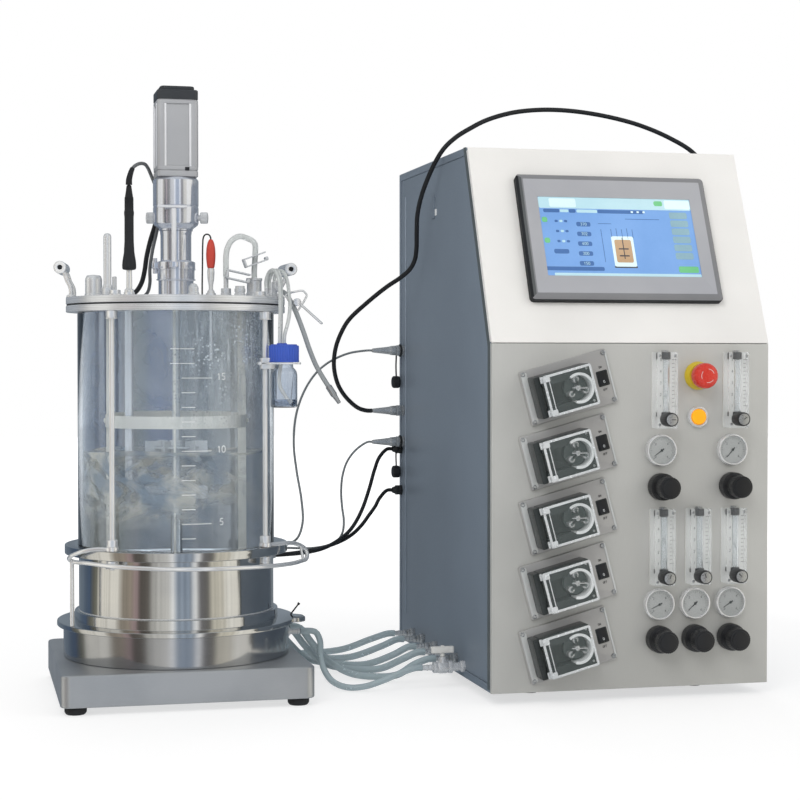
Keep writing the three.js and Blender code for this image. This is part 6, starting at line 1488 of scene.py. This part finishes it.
def build_gauges():
    """Pressure gauges: turned chrome rings, pale dials with ticks and figures, a needle and a clear front."""
    rings, dials, needles, glass = Shape(), Shape(), Shape(), Shape()
    for k, (u, _, z, _) in enumerate(GAS):
        at = facing_front(SIDE + u, z)
        rings.round([[19.4, -0.3], [22.5, -0.3], [22.5, 7.4], [21.4, 9], [19.9, 9], [19.2, 7.6]], at, sides=96, cut=0.7,
                    closed=True)
        dials.disc(19.8, 3, 6.5, at, sides=64, cut=0.1)
        for j in range(25):
            a = 225 - 11.25 * j
            length = 2.6 if j % 4 == 0 else 1.4
            spot = spun(at, a)
            dials.block((length, 0.4), 6.4, 6.66, 0.04, moved(spot, 17.2 - length / 2), look=1, radius=0.1)
        for j, figure in enumerate("0246"):
            x, y = polar(12.6, 225 - 90 * j)
            written(dials, figure, moved(at, x, y, 6.5), 3.0, 0.22, look=1)
        angle = (215, 230, 205, 222, 212)[k]
        pointer = drawn_outline([(-4, -0.9), (13.5, -0.25), (13.5, 0.25), (-4, 0.9)], 0.15, 3)
        needles.slab(pointer, 6.9, 7.2, 0.08, spun(at, angle))
        needles.round([[0, 6.4], [1.9, 6.4], [1.9, 7.6], [0, 7.9]], at, sides=28, cut=0.4)
        glass.disc(19.5, 7.9, 8.4, at, sides=64, cut=0.1)
    rings.make("gauge_rings", "bright_wire", "lower_fascia", "polished_steel")
    dials.make("gauge_dials", ["gauge_face", "black_print"], "lower_fascia", "white_plastic")
    needles.make("gauge_needles", "black_print", "lower_fascia", "black_plastic")
    glass.make("gauge_fronts", "cover_sheet", "lower_fascia", "clear_plastic")


def build_knobs():
    """Fluted flow knobs with bright centres, and two-step regulator knobs."""
    for k, (u, low, _, z) in enumerate(GAS):
        at = facing_front(SIDE + u, low + 13, FACE - 22)
        knob = Shape()
        knob.disc(3, -6, 0.6, at, sides=24)
        knob.slab(fluted_outline(9.8, 24, 0.5), 0.5, 22.2, 0.9, at)
        knob.ring(7.9, 9.2, 21.6, 23.2, at, sides=48, cut=0.4)
        knob.round([[0, 21.6], [8.1, 21.6], [8.1, 22.9], [0, 23.2]], at, sides=40, cut=0.3, look=1)
        knob.block((6, 0.9), 22.9, 23.6, 0.1, moved(spun(at, 35 * k), 2.6), look=0, radius=0.3)
        knob.make(f"flow_knob_{k + 1}_body", ["black_plastic", "connector"], f"flow_knob_{k + 1}", "black_plastic",
                  moves=True)
        at = facing_front(SIDE + u, z)
        knob = Shape()
        knob.slab(fluted_outline(19, 40, 0.35), 0.4, 17, 1.2, at)
        knob.round([[0, 16.4], [18, 16.4], [17.6, 18.4], [16, 20.5], [15, 22.5], [0, 22.5]], at, sides=72, cut=1.0)
        knob.slab(fluted_outline(15.6, 30, 0.5), 22, 41.4, 1.8, at)
        knob.round([[0, 41], [12.8, 41], [12.0, 42.8], [0, 43]], at, sides=56, cut=0.7)
        knob.make(f"regulator_knob_{k + 1}_body", "black_plastic", f"regulator_knob_{k + 1}", "black_plastic", moves=True)


def build_buttons():
    """Stop button with its mushroom head and yellow collar; lit start button in its bright bezel."""
    at = facing_front(SIDE + 302, 454)
    collar = Shape().round([[8.4, -0.3], [20, -0.3], [20, 3], [17.2, 10.6], [16.4, 11], [8.4, 11]], at, sides=80,
                           cut=1.2, closed=True)
    collar.make("stop_button_collar", "stop_yellow", "lower_fascia", "amber_lens")
    head = Shape()
    head.disc(8, 6, 17, at, sides=48)
    outline = [[0, 16.3], [15.6, 16.3], [17.4, 18.6], [18, 22], [18, 29], [16.8, 33.5], [13, 36.6], [7, 37.8], [0, 38]]
    head.patch(turned(softened(outline, [0, 1, 2, 3, 3, 3, 3, 3, 0], 5), 80), at)
    head.make("stop_button_head", "stop_red", "stop_button", "red_plastic", moves=True)
    arrows = Shape()
    for k in range(3):
        a = np.radians(np.linspace(20, 85, 9) + 120 * k)
        arrows.wire(np.stack([9.5 * np.cos(a), 9.5 * np.sin(a), np.full(9, 37.4)], 1), 0.3, sides=8, at=at)
    arrows.make("stop_button_marks", "white_print", "stop_button", "white_plastic", moves=True)
    at = facing_front(SIDE + 302, 396)
    bezel = Shape().round([[11.3, -0.3], [15.2, -0.3], [15.2, 3.2], [13.9, 5], [11.3, 5]], at, sides=72, cut=0.7,
                          closed=True)
    bezel.make("start_button_bezel", "bright_wire", "lower_fascia", "satin_steel")
    lens = Shape().patch(turned(softened([[0, 3], [11, 3], [11, 6.4], [9.4, 7.7], [0, 8]], [0, 0.3, 1.4, 2, 0], 5), 72), at)
    lens.make("start_button_lens", "amber_lens", "start_button", "amber_lens", moves=True)


# --- Stage --------------------

# Bands of the room that polished steel shows: a bearing from the vessel and a colour there.
ROOM_BANDS = [
    (0, "#7c858e"), (20, "#6c7885"), (31, "#4d5d74"), (35,
                                                       "#6a6a63"), (38,
                                                                    "#74746a"), (40, "#e4e0d6"), (54, "#f4f0e6"), (57, "#9a9286"),
    (62, "#a19689"), (65, "#ae999a"), (67.5, "#5f5a56"), (72,
                                                          "#66625d"), (75, "#bdbcb8"), (83, "#d8d7d3"), (85.5, "#ffffff"),
    (88, "#9fabba"), (95, "#95a2b2"), (98.6, "#fbfbfb"), (101,
                                                          "#7c7b7d"), (106, "#72706c"), (109, "#dad5c6"), (115, "#d3cec0"),
    (119, "#f8f5ec"), (134, "#f3eee2"), (138, "#9a9d9b"), (160, "#7a8185"), (180, "#7c858e"),
]
BANDS_TURNED = 0.2686  # the share of a half turn that brings the table's bearings to their places

# Large soft lamps that look at the object's middle: where each stands, in metres, and its power.
LAMPS = [("key", (-1.6, -2.6, 2.6), 42), ("fill", (2.6, -1.8, 1.8), 14), ("back", (0.4, 2.6, 2.4), 22)]


def camera_rays(tree):
    """1 for rays from the camera, off gloss and through glass; 0 for the light that falls on surfaces."""
    path = node(tree, "LightPath").outputs
    first = node(tree, "Math", {0: path["Is Camera Ray"], 1: path["Is Glossy Ray"]}, operation="MAXIMUM").outputs[0]
    return node(tree, "Math", {0: first, 1: path["Is Transmission Ray"]}, operation="MAXIMUM").outputs[0]


def light_world():
    """White where it is seen, and a soft even light on surfaces."""
    world = bpy.data.worlds.new("room")
    world.use_nodes = True
    tree = world.node_tree
    share = camera_rays(tree)
    strength = ranged(tree, share, 0.62, 1.0)
    back = tree.nodes["Background"]
    back.inputs["Color"].default_value = (1, 1, 1, 1)
    tree.links.new(strength, back.inputs["Strength"])
    bpy.context.scene.world = world


def bare_look(name, label):
    """A material with no surface yet: its tree, its place on the object and the input of its surface."""
    made = LOOKS[name] = bpy.data.materials.new(label)
    made.use_nodes = True
    tree = made.node_tree
    tree.nodes.remove(tree.nodes["Principled BSDF"])
    return tree, node(tree, "TexCoord").outputs["Object"], tree.nodes["Material Output"].inputs["Surface"]


def build_stage():
    """Pale floor with a soft shadow, a ring and a ceiling that only gloss shows, and large soft lamps."""
    bpy.context.scene.view_settings.view_transform = "Standard"
    light_world()
    floor_shape = Shape().slab(round_outline(9000, 96), -20, -0.05, 5)
    tree, spot, surface = bare_look("floor", "pale floor")
    speckle = node(tree, "TexNoise", {"Vector": spot, "Scale": 30.0}).outputs["Fac"]
    shown = mixed(tree, speckle, (0.9, 0.9, 0.9, 1), (0.88, 0.88, 0.88, 1))
    matt = node(tree, "BsdfDiffuse", {"Color": shown}).outputs[0]
    lit = node(tree, "Emission", {"Color": (1, 1, 1, 1), "Strength": 1.25}).outputs[0]
    reach = node(tree, "VectorMath", {0: spot}, operation="LENGTH").outputs["Value"]
    share = product(tree, camera_rays(tree), ranged(tree, reach, 0.5, 1.0, 0.9, 2.2))
    both = node(tree, "MixShader", {0: share, 1: matt, 2: lit}).outputs[0]
    tree.links.new(both, surface)
    ground = floor_shape.piece("stage_floor", "floor")
    ground.visible_glossy = False

    tree, spot, surface = bare_look("bands", "room bands")
    part = node(tree, "SeparateXYZ", {0: spot}).outputs
    turn = node(tree, "Math", {0: part[1], 1: part[0]}, operation="ARCTAN2").outputs[0]
    # The table's 90 lies in front of the vessel, and both its ends behind it.
    bearing = ranged(tree, turn, 0.0, 1.0, -np.pi, np.pi)
    shift = node(tree, "Math", {0: bearing, 1: BANDS_TURNED}, operation="ADD").outputs[0]
    share = node(tree, "Math", {0: shift}, operation="FRACT").outputs[0]
    shown = ramp(tree, share, [(at / 180, tone) for at, tone in ROOM_BANDS])
    along_ring = node(tree, "CombineXYZ", {0: share}).outputs[0]
    stripes = node(tree, "TexNoise", {"Vector": along_ring, "Scale": 110.0, "Detail": 3.0}).outputs["Fac"]
    brightness = ranged(tree, stripes, 0.78, 1.25, 0.35, 0.65)
    tree.links.new(node(tree, "Emission", {"Color": shown, "Strength": brightness}).outputs[0], surface)
    ring = Shape().ring(4200, 4230, -2500, 3200, sides=128, cut=1)
    room = ring.piece("stage_room_ring", "bands")
    tree, spot, surface = bare_look("ceiling", "room ceiling")
    cloud = node(tree, "TexNoise", {"Vector": spot, "Scale": 0.6}).outputs["Fac"]
    shown = mixed(tree, ranged(tree, cloud, 0, 1, 0.4, 0.6), colour("#8f979d"), colour("#c5c8ca"))
    tree.links.new(node(tree, "Emission", {"Color": shown, "Strength": 1.0}).outputs[0], surface)
    lids = Shape().slab(round_outline(4300, 96), 3260, 3290, 5)
    ceiling = lids.slab(round_outline(4300, 96), -2560, -2530, 5).piece("stage_ceiling", "ceiling")
    for piece in (room, ceiling):
        piece.visible_camera = piece.visible_diffuse = piece.visible_transmission = piece.visible_shadow = False
        piece.visible_volume_scatter = False
    for name, at, power in LAMPS:
        lamp = bpy.data.lights.new(name, "AREA")
        lamp.energy, lamp.size = power, 2.0
        light = bpy.data.objects.new(name, lamp)
        light.location = at
        light.rotation_euler = (Vector((0, 0, 0.4)) - Vector(at)).to_track_quat("-Z", "Y").to_euler()
        light.visible_glossy = False
        bpy.context.scene.collection.objects.link(light)


# --- Add-on ----------------------------------------------------------------------------------


def choice(name):
    label, what, start, _ = CHOICES[name]
    return bpy.props.FloatVectorProperty(name=label, description=what, subtype="COLOR", default=colour(start)[:3],
                                         min=0, max=1)


class BioreactorSizes(bpy.types.PropertyGroup):
    """Colours that a user may change."""

    side_colour: choice("side_colour")
    slope_colour: choice("slope_colour")
    front_colour: choice("front_colour")
    cap_colour: choice("cap_colour")
    glass_colour: choice("glass_colour")


def build_finishes():
    """Camera and finishes, which every other step needs."""
    frame_camera()
    make_finishes(bpy.context.scene.bioreactor)


STEPS = [
    (build_finishes, "Camera and finishes"),
    (build_cords, "Cables, tubes and hoses"),
    (build_base, "Foot plate"),
    (build_heater, "Heater drum"),
    (build_vessel_bottom, "Steel bottom"),
    (build_glass, "Glass cylinder"),
    (build_culture, "Culture"),
    (build_upper_flange, "Upper flange and tie rods"),
    (build_lid, "Lid, ports and handles"),
    (build_guard, "Wire guard"),
    (build_cage, "Baffle cage"),
    (build_agitator, "Agitator"),
    (build_drive, "Seal, adapter and motor"),
    (build_probes, "Probes"),
    (build_bottle, "Sample bottle"),
    (build_clamps, "Tube clamps"),
    (build_case, "Cabinet case"),
    (build_side_fittings, "Side sockets and drain valve"),
    (build_fascias, "Fascias"),
    (build_touch_panel, "Touch panel"),
    (build_pump_bodies, "Pump plates and heads"),
    (build_pump_movers, "Pump rotors, covers and switches"),
    (build_rotameters, "Gas meters"),
    (build_gauges, "Pressure gauges"),
    (build_knobs, "Flow and regulator knobs"),
    (build_buttons, "Stop and start buttons"),
    (build_stage, "Stage and light"),
]


def step_class(work, label):
    """An operator that builds one piece or group of like pieces."""

    def execute(self, context):
        work()
        return {"FINISHED"}

    name = work.__name__.removeprefix("build_")
    members = {"bl_idname": f"bioreactor.{name}", "bl_label": label, "__doc__": f"Builds: {label.lower()}",
               "execute": execute}
    return type(f"BIOREACTOR_OT_{name}", (bpy.types.Operator,), members)


OPERATORS = [step_class(*step) for step in STEPS]


class BIOREACTOR_PT_panel(bpy.types.Panel):
    """Lists the colours and the steps."""

    bl_label = "Bench bioreactor"
    bl_idname = "BIOREACTOR_PT_panel"
    bl_space_type = "VIEW_3D"
    bl_region_type = "UI"
    bl_category = "Bioreactor"

    def draw(self, context):
        for name in BioreactorSizes.__annotations__:
            self.layout.prop(context.scene.bioreactor, name)
        for operator in OPERATORS:
            self.layout.operator(operator.bl_idname)


CLASSES = [BioreactorSizes, *OPERATORS, BIOREACTOR_PT_panel]


def register():
    for made in CLASSES:
        bpy.utils.register_class(made)
    bpy.types.Scene.bioreactor = bpy.props.PointerProperty(type=BioreactorSizes)


def unregister():
    del bpy.types.Scene.bioreactor
    for made in reversed(CLASSES):
        bpy.utils.unregister_class(made)


def main():
    register()
    for work, _ in STEPS:
        getattr(bpy.ops.bioreactor, work.__name__.removeprefix("build_"))()


if __name__ == "__main__":
    main()
